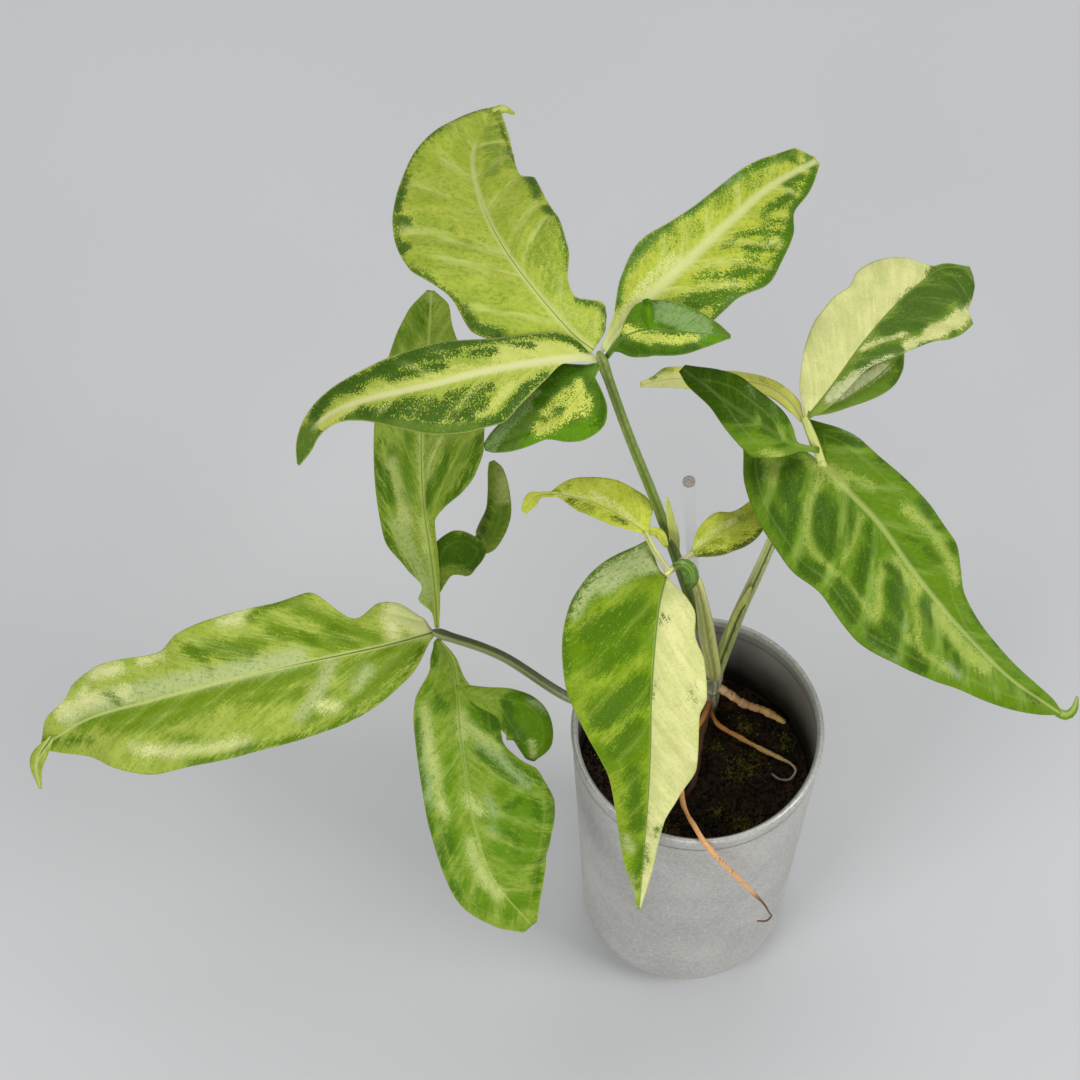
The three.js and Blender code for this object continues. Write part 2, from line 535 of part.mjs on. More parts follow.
const RIGHT_STALK = [
  [7, 26.3, 124], [8.5, 26.5, 135], [13, 29, 160.5], [18.5, 33, 182], [23.5, 37, 202], [29, 41, 216.5],
  [33.3, 44, 222.5], [35.2, 44.9, 225.8],
];
const RIGHT_STALK_RADII = [[0, 2.4], [0.2, 2.2], [0.6, 1.8], [0.95, 1.6], [1, 1.3]];
const RIGHT_TO_BACK = [[35.2, 45.3, 225.8], [32.5, 52, 228.5], [30, 57.4, 231.1]];
const RIGHT_BRANCH_RADII = [[0, 1.2], [1, 1]];
const RIGHT_SHEATH = {
  midrib: [[9.6, 26, 144], [10.9, 26.7, 153], [13, 28, 164], [14.8, 29, 172], [15.6, 28.9, 177]],
  faces: [[0.2, -0.95, 0.1], [0.2, -0.95, 0.1]],
  left: [[0, 1], [0.5, 2.2], [1, 0.6]],
  right: [[0, 0.6], [0.5, 1.2], [1, 0.6]],
  fold: 0,
  droop: 0,
  heel: [0, 0],
};

const TOP_STALK = [
  [6, 27.5, 124], [5, 28.3, 133], [2, 28.5, 148.5], [-2.5, 28.5, 168], [-8.5, 33, 190], [-15.5, 40, 212],
  [-24.5, 48, 239], [-32, 56.3, 263], [-33.4, 58.3, 266.7],
];
const TOP_STALK_RADII = [[0, 2.4], [0.2, 2.1], [0.6, 1.6], [0.93, 1.5], [0.98, 1.8], [1, 1]];
const TOP_SHEATH = {
  midrib: [[-5.6, 30.8, 183], [-8.4, 33.2, 191.5], [-9.4, 34.4, 202], [-11, 35.4, 212], [-12, 36.6, 219]],
  faces: [[-0.2, -0.95, 0.2], [-0.2, -0.95, 0.2]],
  left: [[0, 0.6], [0.5, 1.6], [1, 0.6]],
  right: [[0, 0.6], [0.5, 1.8], [1, 0.6]],
  fold: 0,
  droop: 0,
  heel: [0, 0],
};

const LEFT_STALK = [
  [5.8, 26, 121], [1, 21, 128], [-10, 14, 132], [-26.5, 7.5, 137], [-41.5, 5.5, 146], [-63.5, 14.5, 158],
  [-84.3, 18.1, 166.7],
];
const LEFT_STALK_RADII = [[0, 2], [0.5, 1.7], [0.94, 1.6], [0.98, 1.8], [1, 1]];

// Roots, all growing out of the stem: two lie on the soil, one hangs over the rim, one dives in.
const THICK_ROOT = [
  [7, 25.5, 116], [12, 25, 111], [16.5, 24, 106.5], [20, 23.5, 104.5], [23.5, 23, 103],
  [27.5, 21, 102.5], [31, 18.5, 102.5],
];
const THICK_ROOT_RADII = [[0, 1.7], [0.1, 1.5], [0.85, 1.4], [0.96, 1.1], [1, 0.5]];
const LOOPED_ROOT = [
  [5.5, 23.5, 105], [8, 18, 103.5], [12, 15, 103], [16.5, 12.5, 102.5], [22.5, 9, 102], [29, 5.5, 102],
  [32.5, 3.5, 101.8], [34, 1, 101.6], [32, -2, 101.5], [28.5, -2, 101.5], [26, 0, 101.5],
];
const LOOPED_ROOT_RADII = [[0, 1.1], [0.1, 0.9], [0.6, 0.85], [0.72, 0.5], [1, 0.4]];
const RIM_ROOT = [
  [5.8, 24.5, 107], [3.5, 17, 110.5], [0, 8, 115], [-5, -10, 126], [-5.5, -24, 133], [-4, -31.5, 136.5],
  [-2, -36, 138], [0.5, -40.5, 137.6], [4, -43.5, 133.5], [8.5, -44, 124.5], [13.5, -44, 114],
  [18.5, -43.5, 102.5], [22.5, -43, 92.5], [24.5, -43, 86], [25.5, -43, 83], [24, -43.5, 80], [21, -44, 81],
];
const RIM_ROOT_RADII = [[0, 1.2], [0.1, 0.95], [0.8, 0.9], [0.87, 0.4], [1, 0.35]];
const DIVING_ROOT = [
  [5.5, 23.5, 106], [2, 8.5, 106], [1, 1, 104], [-0.5, -4.5, 102.5], [-3, -8, 99.5], [-3.5, -8.5, 94],
];
const DIVING_ROOT_RADII = [[0, 1.4], [0.1, 1.25], [0.9, 1.2], [1, 0.8]];
const ROOT_STEP = 5;

// Pieces already in place, each GAP larger all round, so the next one can be cut back to them.
const placed = [];

function joined(solids) {
  return solids.reduce((sum, next) => sum.add(next));
}

function cutBack(body) {
  const rest = placed.reduce((left, other) => left.subtract(other), body);
  const pieces = rest.decompose();
  return pieces.reduce((best, piece) => (piece.volume() > best.volume() ? piece : best));
}

function addGrown(name, shapes, grownShapes, colour) {
  addPiece(name, geometryOf(cutBack(joined(shapes.map(solid)))), colour);
  placed.push(joined(grownShapes.map(solid)));
}

function addStalk(name, branches, colour, flaps = []) {
  const shape = (extra) => [
    ...branches.map(([path, radii]) => stalkGeometry(path, radii, extra)),
    ...flaps.map((flap) => bladeGeometry(flap, extra)),
  ];
  addGrown(name, shape(0), shape(GAP), colour);
}

function addRoot(name, path, radii, colour) {
  const shape = (extra) => [stalkGeometry(path, radii, extra, ROOT_STEP)];
  addGrown(name, shape(0), shape(GAP), colour);
}

function addLeaflet(name, blades, colour) {
  const shape = (extra) => blades.map((blade) => bladeGeometry(BLADES[blade], extra));
  addGrown(name, shape(0), shape(GAP), colour);
}

const stake = (extra) => stalkGeometry(STAKE_PATH, STAKE_RADII, extra, STAKE_STEP);
addGrown("stake", [stake(0)], [stake(GAP)], "clear");
addStalk("stem", [[STEM_PATH, STEM_RADII]], "stem");

addStalk("front_leaf_petiole", [
  [FRONT_STALK, FRONT_STALK_RADII],
  [FRONT_TO_CENTRE, FRONT_BRANCH_RADII],
  [FRONT_TO_LEFT, FRONT_BRANCH_RADII],
  [FRONT_TO_RIGHT, FRONT_BRANCH_RADII],
], "paleStalk");
addStalk("right_leaf_petiole", [
  [RIGHT_STALK, RIGHT_STALK_RADII],
  [RIGHT_TO_BACK, RIGHT_BRANCH_RADII],
], "stalk", [RIGHT_SHEATH]);
addStalk("top_leaf_petiole", [[TOP_STALK, TOP_STALK_RADII]], "stalk", [TOP_SHEATH]);
addStalk("left_leaf_petiole", [[LEFT_STALK, LEFT_STALK_RADII]], "stalk");

addRoot("root_thick", THICK_ROOT, THICK_ROOT_RADII, "root");
addRoot("root_over_rim", RIM_ROOT, RIM_ROOT_RADII, "root");
addRoot("root_into_soil", DIVING_ROOT, DIVING_ROOT_RADII, "oldRoot");
addRoot("root_looped", LOOPED_ROOT, LOOPED_ROOT_RADII, "root");

addLeaflet("top_leaf_centre", ["topCentre", "topCentreTip"], "lime");
addLeaflet("top_leaf_right", ["topRight"], "lime");
addLeaflet("top_leaf_left", ["topLeft"], "cream");
addLeaflet("top_leaf_right_ear", ["topRightEar", "topRightFlap"], "dark");
addLeaflet("top_leaf_left_ear", ["topLeftEar"], "dark");
addLeaflet("left_leaf_centre", ["leftCentre", "leftCentreTip"], "marbled");
addLeaflet("left_leaf_back", ["leftBack", "leftBackLobe", "leftBackEar"], "marbled");
addLeaflet("left_leaf_front", ["leftFront", "leftFrontEar"], "marbled");
addLeaflet("right_leaf_centre", ["rightCentre", "rightCentreTip"], "dark");
addLeaflet("right_leaf_dark_side", ["rightDark"], "dark");
addLeaflet("right_leaf_yellow_side", ["rightYellow"], "yellow");
addLeaflet("right_leaf_upper", ["rightUpper", "rightUpperLobe"], "cream");
addLeaflet("front_leaf_centre", ["frontCentre"], "cream");
addLeaflet("front_leaf_left", ["frontLeft", "frontLeftTip", "frontLeftDry"], "yellow");
addLeaflet("front_leaf_right", ["frontRight"], "yellow");
addLeaflet("front_leaf_curl", ["frontCurl"], "dark");

addPiece("soil", geometryOf(cutBack(solid(soilGeometry()))), "soil");

export default plant;
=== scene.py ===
import math

import bpy
import numpy as np
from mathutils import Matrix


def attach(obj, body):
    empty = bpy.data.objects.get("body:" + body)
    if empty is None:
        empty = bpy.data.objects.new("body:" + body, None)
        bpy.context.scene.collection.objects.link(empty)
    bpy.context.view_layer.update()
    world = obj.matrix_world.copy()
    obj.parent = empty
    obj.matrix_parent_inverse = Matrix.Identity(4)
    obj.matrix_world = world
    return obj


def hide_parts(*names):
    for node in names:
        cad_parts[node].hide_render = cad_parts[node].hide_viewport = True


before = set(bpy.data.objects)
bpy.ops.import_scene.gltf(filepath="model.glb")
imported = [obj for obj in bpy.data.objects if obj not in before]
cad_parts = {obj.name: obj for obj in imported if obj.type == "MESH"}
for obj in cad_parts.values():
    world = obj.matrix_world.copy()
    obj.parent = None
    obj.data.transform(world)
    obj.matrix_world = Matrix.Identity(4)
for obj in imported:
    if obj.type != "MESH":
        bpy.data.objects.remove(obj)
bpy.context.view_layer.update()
MM = 0.001

# Camera. It looks down on the plant from in front at 60 degrees, a little over a metre away,
# as the photograph was taken.
camera_data = bpy.data.cameras.new("camera")
camera_data.lens = 106.7
camera_data.sensor_width = 36
camera = bpy.data.objects.new("camera", camera_data)
camera.location = (-0.0509, -0.4640, 1.0603)
camera.rotation_euler = (math.radians(30), 0, 0)
bpy.context.scene.collection.objects.link(camera)
bpy.context.scene.camera = camera
bpy.context.scene.view_settings.view_transform = "Standard"


# Floor and light. The plant stands on a plain pale sheet, lit by a wide soft light overhead, one
# at each side and a low one in front, whose soft shadows fall back to the left and the right.
def linear(code):
    """A colour written as six hexadecimal digits, as the four numbers that a shader takes."""
    parts = [int(code[i : i + 2], 16) / 255 for i in (0, 2, 4)]
    return [p / 12.92 if p < 0.04045 else ((p + 0.055) / 1.055) ** 2.4 for p in parts] + [1]


def new_material(name, roughness=0.5, metallic=0.0, specular=0.5):
    """A material, its node tree and the inputs of its shader."""
    material = bpy.data.materials.new(name)
    material.use_nodes = True
    shader = material.node_tree.nodes["Principled BSDF"].inputs
    for key, value in (("Roughness", roughness), ("Metallic", metallic), ("Specular IOR Level", specular)):
        shader[key].default_value = value
    return material, material.node_tree, shader


def wire(tree, entry, value):
    """Links a node's input to another node's output, or sets it to a plain value."""
    value = getattr(value, "socket", value)
    if isinstance(value, bpy.types.NodeSocket):
        tree.links.new(value, entry)
    else:
        entry.default_value = value


def node(tree, kind, inputs, **settings):
    """Adds a node with those settings and inputs, and returns its outputs."""
    made = tree.nodes.new(kind)
    for key, value in settings.items():
        setattr(made, key, value)
    for key, value in inputs.items():
        wire(tree, made.inputs[key], value)
    return made.outputs


class Number:
    """A number that a material works out for each point, and that takes part in plain sums."""

    def __init__(self, socket):
        self.socket = socket

    def then(self, operation, *others):
        """One step of arithmetic, from this number and the others."""
        inputs = dict(enumerate((self, *others)))
        return Number(node(self.socket.id_data, "ShaderNodeMath", inputs, operation=operation)[0])

    def __add__(self, other):
        return self.then("ADD", other)

    def __sub__(self, other):
        return self.then("SUBTRACT", other)

    def __mul__(self, other):
        return self.then("MULTIPLY", other)

    def __truediv__(self, other):
        return self.then("DIVIDE", other)

    def __abs__(self):
        return self.then("ABSOLUTE")


def place(tree, scale=(1, 1, 1)):
    """Where a point is on the object, in metres, with each axis stretched by scale."""
    where = node(tree, "ShaderNodeTexCoord", {})["Object"]
    return node(tree, "ShaderNodeMapping", {"Vector": where, "Scale": scale})["Vector"]


def noise(tree, where, scale, detail=2.0, roughness=0.5):
    inputs = {"Vector": where, "Scale": scale, "Detail": detail, "Roughness": roughness}
    return Number(node(tree, "ShaderNodeTexNoise", inputs)["Fac"])


def blend(tree, share, first, second):
    """A colour between first and second. Each is six hexadecimal digits or a socket."""
    first, second = (linear(colour) if isinstance(colour, str) else colour for colour in (first, second))
    return node(tree, "ShaderNodeMix", {0: share, 6: first, 7: second}, data_type="RGBA")[2]


def make_object(name, points, faces, materials, numbers=None, smooth=True):
    """A mesh object from points in metres. numbers holds lists with one value for each point."""
    mesh = bpy.data.meshes.new(name)
    mesh.from_pydata([tuple(p) for p in points], [], faces)
    for key, values in (numbers or {}).items():
        layer = mesh.attributes.new(key, "FLOAT", "POINT")
        layer.data.foreach_set("value", np.asarray(values, np.float32))
    for material in materials:
        mesh.materials.append(material)
    mesh.polygons.foreach_set("use_smooth", [smooth] * len(mesh.polygons))
    mesh.update()
    made = bpy.data.objects.new(name, mesh)
    bpy.context.scene.collection.objects.link(made)
    return made


PLANT_MIDDLE = (-0.03, 0.03, 0.15)


def soft_light(name, location, width, watts):
    """A square soft light that points at the middle of the plant."""
    data = bpy.data.lights.new(name, "AREA")
    data.shape = "SQUARE"
    data.size = width
    data.energy = watts
    lamp = bpy.data.objects.new(name, data)
    lamp.location = location
    towards = np.subtract(PLANT_MIDDLE, location)
    level = math.hypot(towards[0], towards[1])
    turn = math.atan2(towards[1], towards[0]) - math.pi / 2
    lamp.rotation_euler = (math.atan2(level, -towards[2]), 0, turn)
    bpy.context.scene.collection.objects.link(lamp)


FLOOR_REACH = 4.0
FLOOR_DROP = 0.0003
paper, tree, shader = new_material("pale_sheet", roughness=0.85, specular=0.2)
wire(tree, shader["Base Color"], blend(tree, noise(tree, place(tree), 3.0), "c6c7c8", "cbcbcc"))
corners = [(x * FLOOR_REACH, y * FLOOR_REACH, -FLOOR_DROP) for x, y in ((-1, -1), (1, -1), (1, 1), (-1, 1))]
floor = make_object("floor", corners, [(0, 1, 2, 3)], [paper], smooth=False)

soft_light("right_light", (1.3, -0.5, 1.15), 0.7, 14)
soft_light("left_light", (-0.95, -0.9, 1.15), 0.7, 9)
soft_light("front_light", (-0.05, -1.5, 0.75), 1.0, 6)
soft_light("overhead_light", (-0.1, 0.7, 1.7), 1.3, 11.5)
world = bpy.data.worlds.new("studio")
world.use_nodes = True
surround = world.node_tree.nodes["Background"].inputs
surround["Color"].default_value = linear("e6e8ec")
surround["Strength"].default_value = 0.31
bpy.context.scene.world = world


# Pot. A small tumbler pressed from one sheet of zinc-coated metal, with a rounded foot, a wall that
# widens upwards and a rolled rim. Its skin is a matt, finely mottled grey. Lengths are in mm.
POT_FOOT_RADIUS = 35.6
POT_TOP_RADIUS = 40.6
POT_CORNER = 12
POT_BEAD_FOOT = 133
POT_TAPER = (POT_TOP_RADIUS - POT_FOOT_RADIUS) / (POT_BEAD_FOOT - POT_CORNER)
POT_SHEET = 0.8
POT_SIDES = 192
WALL_LOW = 14
OUTER_WALL_HIGH = 127.5
INNER_WALL_HIGH = 132.4
WALL_RINGS = 12
FOLD_HEIGHT = 129.2
BEAD_TURN = 133.4
SHINE_FROM = 132.6
# The painted shade inside the pot fades from dark to none between these heights in mm, wandering this far.
INNER_SHADE_FROM = 104
INNER_SHADE_TO = 132
INNER_SHADE_WANDER = 14


def pot_radius(z):
    """The outer radius of the wall at a height above its rounded foot."""
    return POT_FOOT_RADIUS + POT_TAPER * (z - POT_CORNER)


def pot_corner(inset, steps=14):
    """The rounded foot of the wall, from the underside up, that much inside the outer skin."""
    middle = POT_FOOT_RADIUS - POT_CORNER
    reach = POT_CORNER - inset
    for angle in np.linspace(0, math.pi / 2, steps):
        yield middle + reach * math.sin(angle), POT_CORNER - reach * math.cos(angle)


def closed_faces(rings, sides):
    """Faces of a closed surface whose points are a pole, rings of that many sides and a pole."""
    last = rings * sides + 1
    faces = []
    for k in range(sides):
        after = (k + 1) % sides
        faces.append((0, 1 + after, 1 + k))
        for low in range(1, last - sides, sides):
            faces.append((low + k, low + after, low + sides + after, low + sides + k))
        faces.append((last, last - sides + k, last - sides + after))
    return faces


def lathe(profile, sides):
    """Points and faces of a profile of (radius, height) turned about Z, from axis to axis."""
    points = [(0, 0, profile[0][1])]
    for radius, z in profile[1:-1]:
        for angle in 2 * math.pi * np.arange(sides) / sides:
            points.append((radius * math.cos(angle), radius * math.sin(angle), z))
    points.append((0, 0, profile[-1][1]))
    return np.array(points), closed_faces(len(profile) - 2, sides)


def fade(value, low, high, bottom=0.0, top=1.0):
    """A smooth step from bottom to top as value goes from low to high."""
    inputs = {"Value": value, "From Min": low, "From Max": high, "To Min": bottom, "To Max": top}
    made = node(value.socket.id_data, "ShaderNodeMapRange", inputs, interpolation_type="SMOOTHSTEP")
    return Number(made["Result"])


def axes(tree, where):
    """A point's X, Y and Z."""
    return [Number(axis) for axis in node(tree, "ShaderNodeSeparateXYZ", {0: where})]


def bump(tree, shader, height, distance, strength=1.0):
    inputs = {"Height": height, "Distance": distance, "Strength": strength}
    wire(tree, shader["Normal"], node(tree, "ShaderNodeBump", inputs)["Normal"])


def add_piece(name, shape, skin, stands_for=None):
    """A finished piece from points in mm, faces and numbers. It may stand for a part of the CAD model."""
    points, faces, *numbers = shape
    piece = make_object(name, points * MM, faces, [skin], *numbers)
    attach(piece, "root")
    if stands_for:
        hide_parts(stands_for)


outer_wall = [(pot_radius(z), z) for z in np.linspace(WALL_LOW, OUTER_WALL_HIGH, WALL_RINGS)]
seam = [(40.42, 128.6), (40.3, 129.0), (40.45, 129.5), (40.6, 131), (40.62, 132.4)]
bead = [(40.75, 133.2), (41.0, 134.2), (40.95, 135.1), (40.6, 135.7), (40.1, 136.0), (39.6, 135.95),
        (39.25, 135.6), (39.1, 135.0), (38.75, 134.7), (38.6, 134.0), (38.75, 133.2)]
inner_wall = [(pot_radius(z) - POT_SHEET, z) for z in np.linspace(INNER_WALL_HIGH, WALL_LOW, WALL_RINGS)]
inner_wall[0] = (38.95, INNER_WALL_HIGH)
pot_profile = [(0, 0), *pot_corner(0), *outer_wall, *seam, *bead, *inner_wall]
pot_profile += [*reversed(list(pot_corner(POT_SHEET))), (0, POT_SHEET)]

zinc, tree, shader = new_material("matt_zinc", roughness=0.5, metallic=0.25)
where = place(tree)
x, y, z = axes(tree, where)
height = z / MM
radius = (x * x + y * y).then("SQRT") / MM
spangle = noise(tree, where, 900, 2.0, 0.6)
clouds = noise(tree, where, 45, 3.0)
skin = blend(tree, fade(spangle * 0.6 + clouds * 0.4, 0.34, 0.66), "a9a9a4", "c6c5bf")
# Painted shade: the wall's inside is painted darker towards the soil, as shade deepens down inside the pot.
wall_radius = (height - POT_CORNER) * POT_TAPER + POT_FOOT_RADIUS
within = fade(wall_radius - radius, 0.3, 0.6) * fade(height, 60, 70)
painted_inner_shade = blend(tree, fade(height + (clouds - 0.5) * INNER_SHADE_WANDER, INNER_SHADE_FROM, INNER_SHADE_TO), "26231c", "b4b3ad")
skin = blend(tree, within * fade(height, BEAD_TURN, INNER_WALL_HIGH), skin, painted_inner_shade)
# Painted shade: a dark line in the fold under the rolled bead, where the bead shades the wall.
skin = blend(tree, fade(abs(height - FOLD_HEIGHT), 0.3, 1.1, 0.5, 0.0), skin, "55564f")
wire(tree, shader["Base Color"], skin)
wire(tree, shader["Roughness"], fade(height, SHINE_FROM, BEAD_TURN, 0.5, 0.3))
bump(tree, shader, spangle, 0.00005, 0.5)
add_piece("zinc_tumbler", lathe(pot_profile, POT_SIDES), zinc, "pot")


# Soil. A dark peat mix fills the pot to 36 mm below the rim. Its top is crumbly and uneven, with
# cushions of olive moss on it.
SOIL_LEVEL = 100
SOIL_INSET = 1.1
SOIL_RINGS = 44
SOIL_SIDES = 120
SOIL_WAVE = 0.35
MOSS_RISE = 0.9
MOSS_CUSHIONS = [(17.5, 17, 4.0), (8, 10.5, 2.4), (21, 6.5, 2.6), (16, 2, 6.0), (15, -18, 4.5),
                 (7, -13.5, 3.0), (31, 12, 3.4), (-12, -20, 5.0), (-25, 4, 5.5), (-14, 22, 5), (22, -22, 4)]


def moss_share(x, y):
    """How much moss grows at a point of the soil, from 0 to 1."""
    return max(math.exp(-(((x - mx) ** 2 + (y - my) ** 2) / size**2)) for mx, my, size in MOSS_CUSHIONS)


def soil_height(x, y):
    """The uneven top of the soil, from two patterns of waves, a long one and a short one."""
    waves = math.sin(x / 3.1 + 1) * math.cos(y / 2.7)
    ripples = 0.6 * math.sin((x + y) / 1.7) * math.cos((x - y) / 1.3)
    return SOIL_LEVEL + SOIL_WAVE * (waves + ripples) + MOSS_RISE * moss_share(x, y)


def read(tree, name):
    """A number that the mesh holds for each point."""
    return Number(node(tree, "ShaderNodeAttribute", {}, attribute_name=name)["Fac"])


soil_edge = pot_radius(SOIL_LEVEL) - SOIL_INSET
soil_profile = [(0, SOIL_INSET), *pot_corner(SOIL_INSET)]
soil_profile += [(soil_edge * ring / SOIL_RINGS, SOIL_LEVEL) for ring in range(SOIL_RINGS, -1, -1)]
points, faces = lathe(soil_profile, SOIL_SIDES)
moss_amount = np.zeros(len(points))
for i, (x, y, z) in enumerate(points):
    if z == SOIL_LEVEL:
        points[i, 2] = soil_height(x, y)
        moss_amount[i] = moss_share(x, y)

peat, tree, shader = new_material("damp_peat", roughness=0.85, specular=0.3)
crumbs = noise(tree, place(tree), 700, 4.0, 0.7)
patches = noise(tree, place(tree), 120, 3.0)
earth = blend(tree, fade(crumbs, 0.35, 0.7), "1a130b", "3e2c1a")
earth = blend(tree, fade(patches, 0.52, 0.68), earth, "4a3416")
mossy = fade(read(tree, "moss"), 0.3, 0.9) * fade(crumbs, 0.4, 0.6)
wire(tree, shader["Base Color"], blend(tree, mossy, earth, "5c5a1c"))
bump(tree, shader, crumbs, 0.0008, 0.9)
add_piece("peat_plug", (points, faces, {"moss": moss_amount}), peat, "soil")


# Crumbs and moss. Loose crumbs of peat lie all over the soil, and on the cushions short sprigs of
# moss stand close together. Both are strewn over a disc of the soil's open top only.
def scatter_tree(name, shape):
    """Geometry Nodes that strew copies of a small shape over a surface, upright to it, turned and
    sized at random, thicker where the surface's moss value is higher if Moss is above 0."""
    tree = bpy.data.node_groups.new(name, "GeometryNodeTree")
    face = tree.interface
    face.new_socket("Geometry", in_out="INPUT", socket_type="NodeSocketGeometry")
    for label, kind in (("Per Square Metre", "Float"), ("Moss", "Float"), ("Smallest", "Float"),
                        ("Largest", "Float"), ("Lean", "Float"), ("Seed", "Int"), ("Finish", "Material")):
        face.new_socket(label, in_out="INPUT", socket_type="NodeSocket" + kind)
    face.new_socket("Geometry", in_out="OUTPUT", socket_type="NodeSocketGeometry")
    given = node(tree, "NodeGroupInput", {})
    lean, seed = given["Lean"], given["Seed"]
    moss = node(tree, "GeometryNodeInputNamedAttribute", {"Name": "moss"})["Attribute"]
    share = Number(moss).then("POWER", given["Moss"]) * given["Per Square Metre"]
    spread = node(tree, "GeometryNodeDistributePointsOnFaces",
                  {"Mesh": given["Geometry"], "Density": share, "Seed": seed})
    back = Number(lean) * -1
    low = node(tree, "ShaderNodeCombineXYZ", {"X": back, "Y": back})[0]
    high = node(tree, "ShaderNodeCombineXYZ", {"X": lean, "Y": lean, "Z": 2 * math.pi})[0]
    turn = node(tree, "FunctionNodeRandomValue", {0: low, 1: high, "Seed": seed}, data_type="FLOAT_VECTOR")[0]
    size = node(tree, "FunctionNodeRandomValue", {2: given["Smallest"], 3: given["Largest"], "Seed": seed})[1]
    chip = node(tree, "GeometryNodeObjectInfo", {"Object": shape})["Geometry"]
    copies = node(tree, "GeometryNodeInstanceOnPoints",
                  {"Points": spread["Points"], "Instance": chip, "Rotation": turn, "Scale": size})
    real = node(tree, "GeometryNodeRealizeInstances", {"Geometry": copies["Instances"]})["Geometry"]
    painted = node(tree, "GeometryNodeSetMaterial", {"Geometry": real, "Material": given["Finish"]})
    node(tree, "NodeGroupOutput", {"Geometry": painted["Geometry"]})
    return tree


def strew(name, surface, shape, settings):
    """Runs scatter_tree on a surface and makes what it strews a plain mesh, which is a finished piece."""
    modifier = surface.modifiers.new(name, "NODES")
    modifier.node_group = scatter_tree(name, shape)
    for item in modifier.node_group.interface.items_tree:
        if item.in_out == "INPUT" and item.name in settings:
            modifier[item.identifier] = settings[item.name]
    result = surface.evaluated_get(bpy.context.evaluated_depsgraph_get())
    mesh = bpy.data.meshes.new_from_object(result)
    surface.modifiers.remove(modifier)
    piece = bpy.data.objects.new(name, mesh)
    bpy.context.scene.collection.objects.link(piece)
    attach(piece, "root")


DISC_RINGS = 30
DISC_SIDES = 60
DISC_RADIUS = 37.2
disc_points = []
disc_faces = []
for ring in range(DISC_RINGS):
    low = ring * DISC_SIDES
    for side in range(DISC_SIDES):
        angle = 2 * math.pi * side / DISC_SIDES
        x, y = ((ring + 1) / DISC_RINGS * DISC_RADIUS * f(angle) for f in (math.cos, math.sin))
        disc_points.append((x * MM, y * MM, soil_height(x, y) * MM))
        after = (side + 1) % DISC_SIDES
        if ring < DISC_RINGS - 1:
            disc_faces.append((low + side, low + DISC_SIDES + side, low + DISC_SIDES + after, low + after))
top_moss = [moss_share(p[0] / MM, p[1] / MM) for p in disc_points]
soil_top = make_object("soil_top", disc_points, disc_faces, [], {"moss": top_moss})

crumb_points = [(0.9, 0, -0.1), (0.2, 0.8, 0), (-0.7, 0.4, 0.1), (-0.6, -0.6, -0.1), (0.3, -0.8, 0.1),
                (0.1, 0.1, 0.75), (0, -0.1, -0.6)]
crumb_faces = [(i, (i + 1) % 5, 5) for i in range(5)] + [((i + 1) % 5, i, 6) for i in range(5)]
crumb = make_object("crumb", crumb_points, crumb_faces, [], smooth=False)
sprig_points = [(0.16, 0, 0), (-0.08, 0.14, 0), (-0.08, -0.14, 0), (0.5, 0.1, 0.8), (-0.3, 0.4, 1.0),
                (-0.2, -0.45, 0.9), (0, 0, 0.45)]
sprig_faces = [(0, 1, 3), (1, 0, 6), (3, 6, 0), (3, 1, 6), (1, 2, 4), (2, 1, 6), (4, 6, 1), (4, 2, 6),
               (2, 0, 5), (0, 2, 6), (5, 6, 2), (5, 0, 6)]
sprig = make_object("sprig", sprig_points, sprig_faces, [], smooth=False)

bark, tree, shader = new_material("peat_crumbs", roughness=0.8, specular=0.3)
tint = noise(tree, place(tree), 260, 2.0)
brown = blend(tree, fade(tint, 0.4, 0.75), "0c0805", "3a2413")
wire(tree, shader["Base Color"], blend(tree, fade(tint, 0.7, 0.8), brown, "6b4a2a"))
bump(tree, shader, noise(tree, place(tree), 2500, 2.0), 0.0002)
moss_green, tree, shader = new_material("olive_moss", roughness=0.8, specular=0.25)
tint = noise(tree, place(tree), 400, 2.0)
wire(tree, shader["Base Color"], blend(tree, fade(tint, 0.35, 0.7), "62621a", "a6a23e"))
bump(tree, shader, noise(tree, place(tree), 3000, 2.0), 0.0001)

strew("peat_crumbs", soil_top, crumb, {
    "Per Square Metre": 750000.0, "Moss": 0.0, "Smallest": 0.0003, "Largest": 0.0011, "Lean": 3.0, "Seed": 4,
    "Finish": bark})
strew("moss_cushions", soil_top, sprig, {
    "Per Square Metre": 4200000.0, "Moss": 1.6, "Smallest": 0.0004, "Largest": 0.0009, "Lean": 0.7, "Seed": 9,
    "Finish": moss_green})
for helper in (soil_top, crumb, sprig):
    bpy.data.objects.remove(helper)


# Stake. A clear acrylic rod, sawn off square, stands in the soil behind the stem and holds up the
# tallest leaf stalk. Only its frosted top end shows well.
FINE_STEPS = 40
# How far beyond the end each ring of a rounded end lies, and how much narrower it is.
CAP_RINGS = ((0.35, 0.93), (0.7, 0.72), (0.92, 0.4))


def curve_through(points, step):
    """Evenly spaced points on a smooth curve through the given ones, about step apart."""
    given = np.asarray(points, float)
    given = np.vstack([2 * given[0] - given[1], given, 2 * given[-1] - given[-2]])
    fine = []
    for k in range(1, len(given) - 2):
        before, start, end, after = given[k - 1 : k + 3]
        for w in np.linspace(0, 1, FINE_STEPS, endpoint=False):
            fine.append(start + 0.5 * (end - before) * w
                        + (before - 2.5 * start + 2 * end - 0.5 * after) * w * w
                        + (1.5 * start - 0.5 * before - 1.5 * end + 0.5 * after) * w**3)
    fine = np.array(fine + [given[-2]])
    run = np.r_[0, np.cumsum(np.linalg.norm(np.diff(fine, axis=0), axis=1))]
    stations = np.linspace(0, run[-1], max(3, math.ceil(run[-1] / step) + 1))
    return np.stack([np.interp(stations, run, fine[:, i]) for i in range(3)], 1), run[-1]


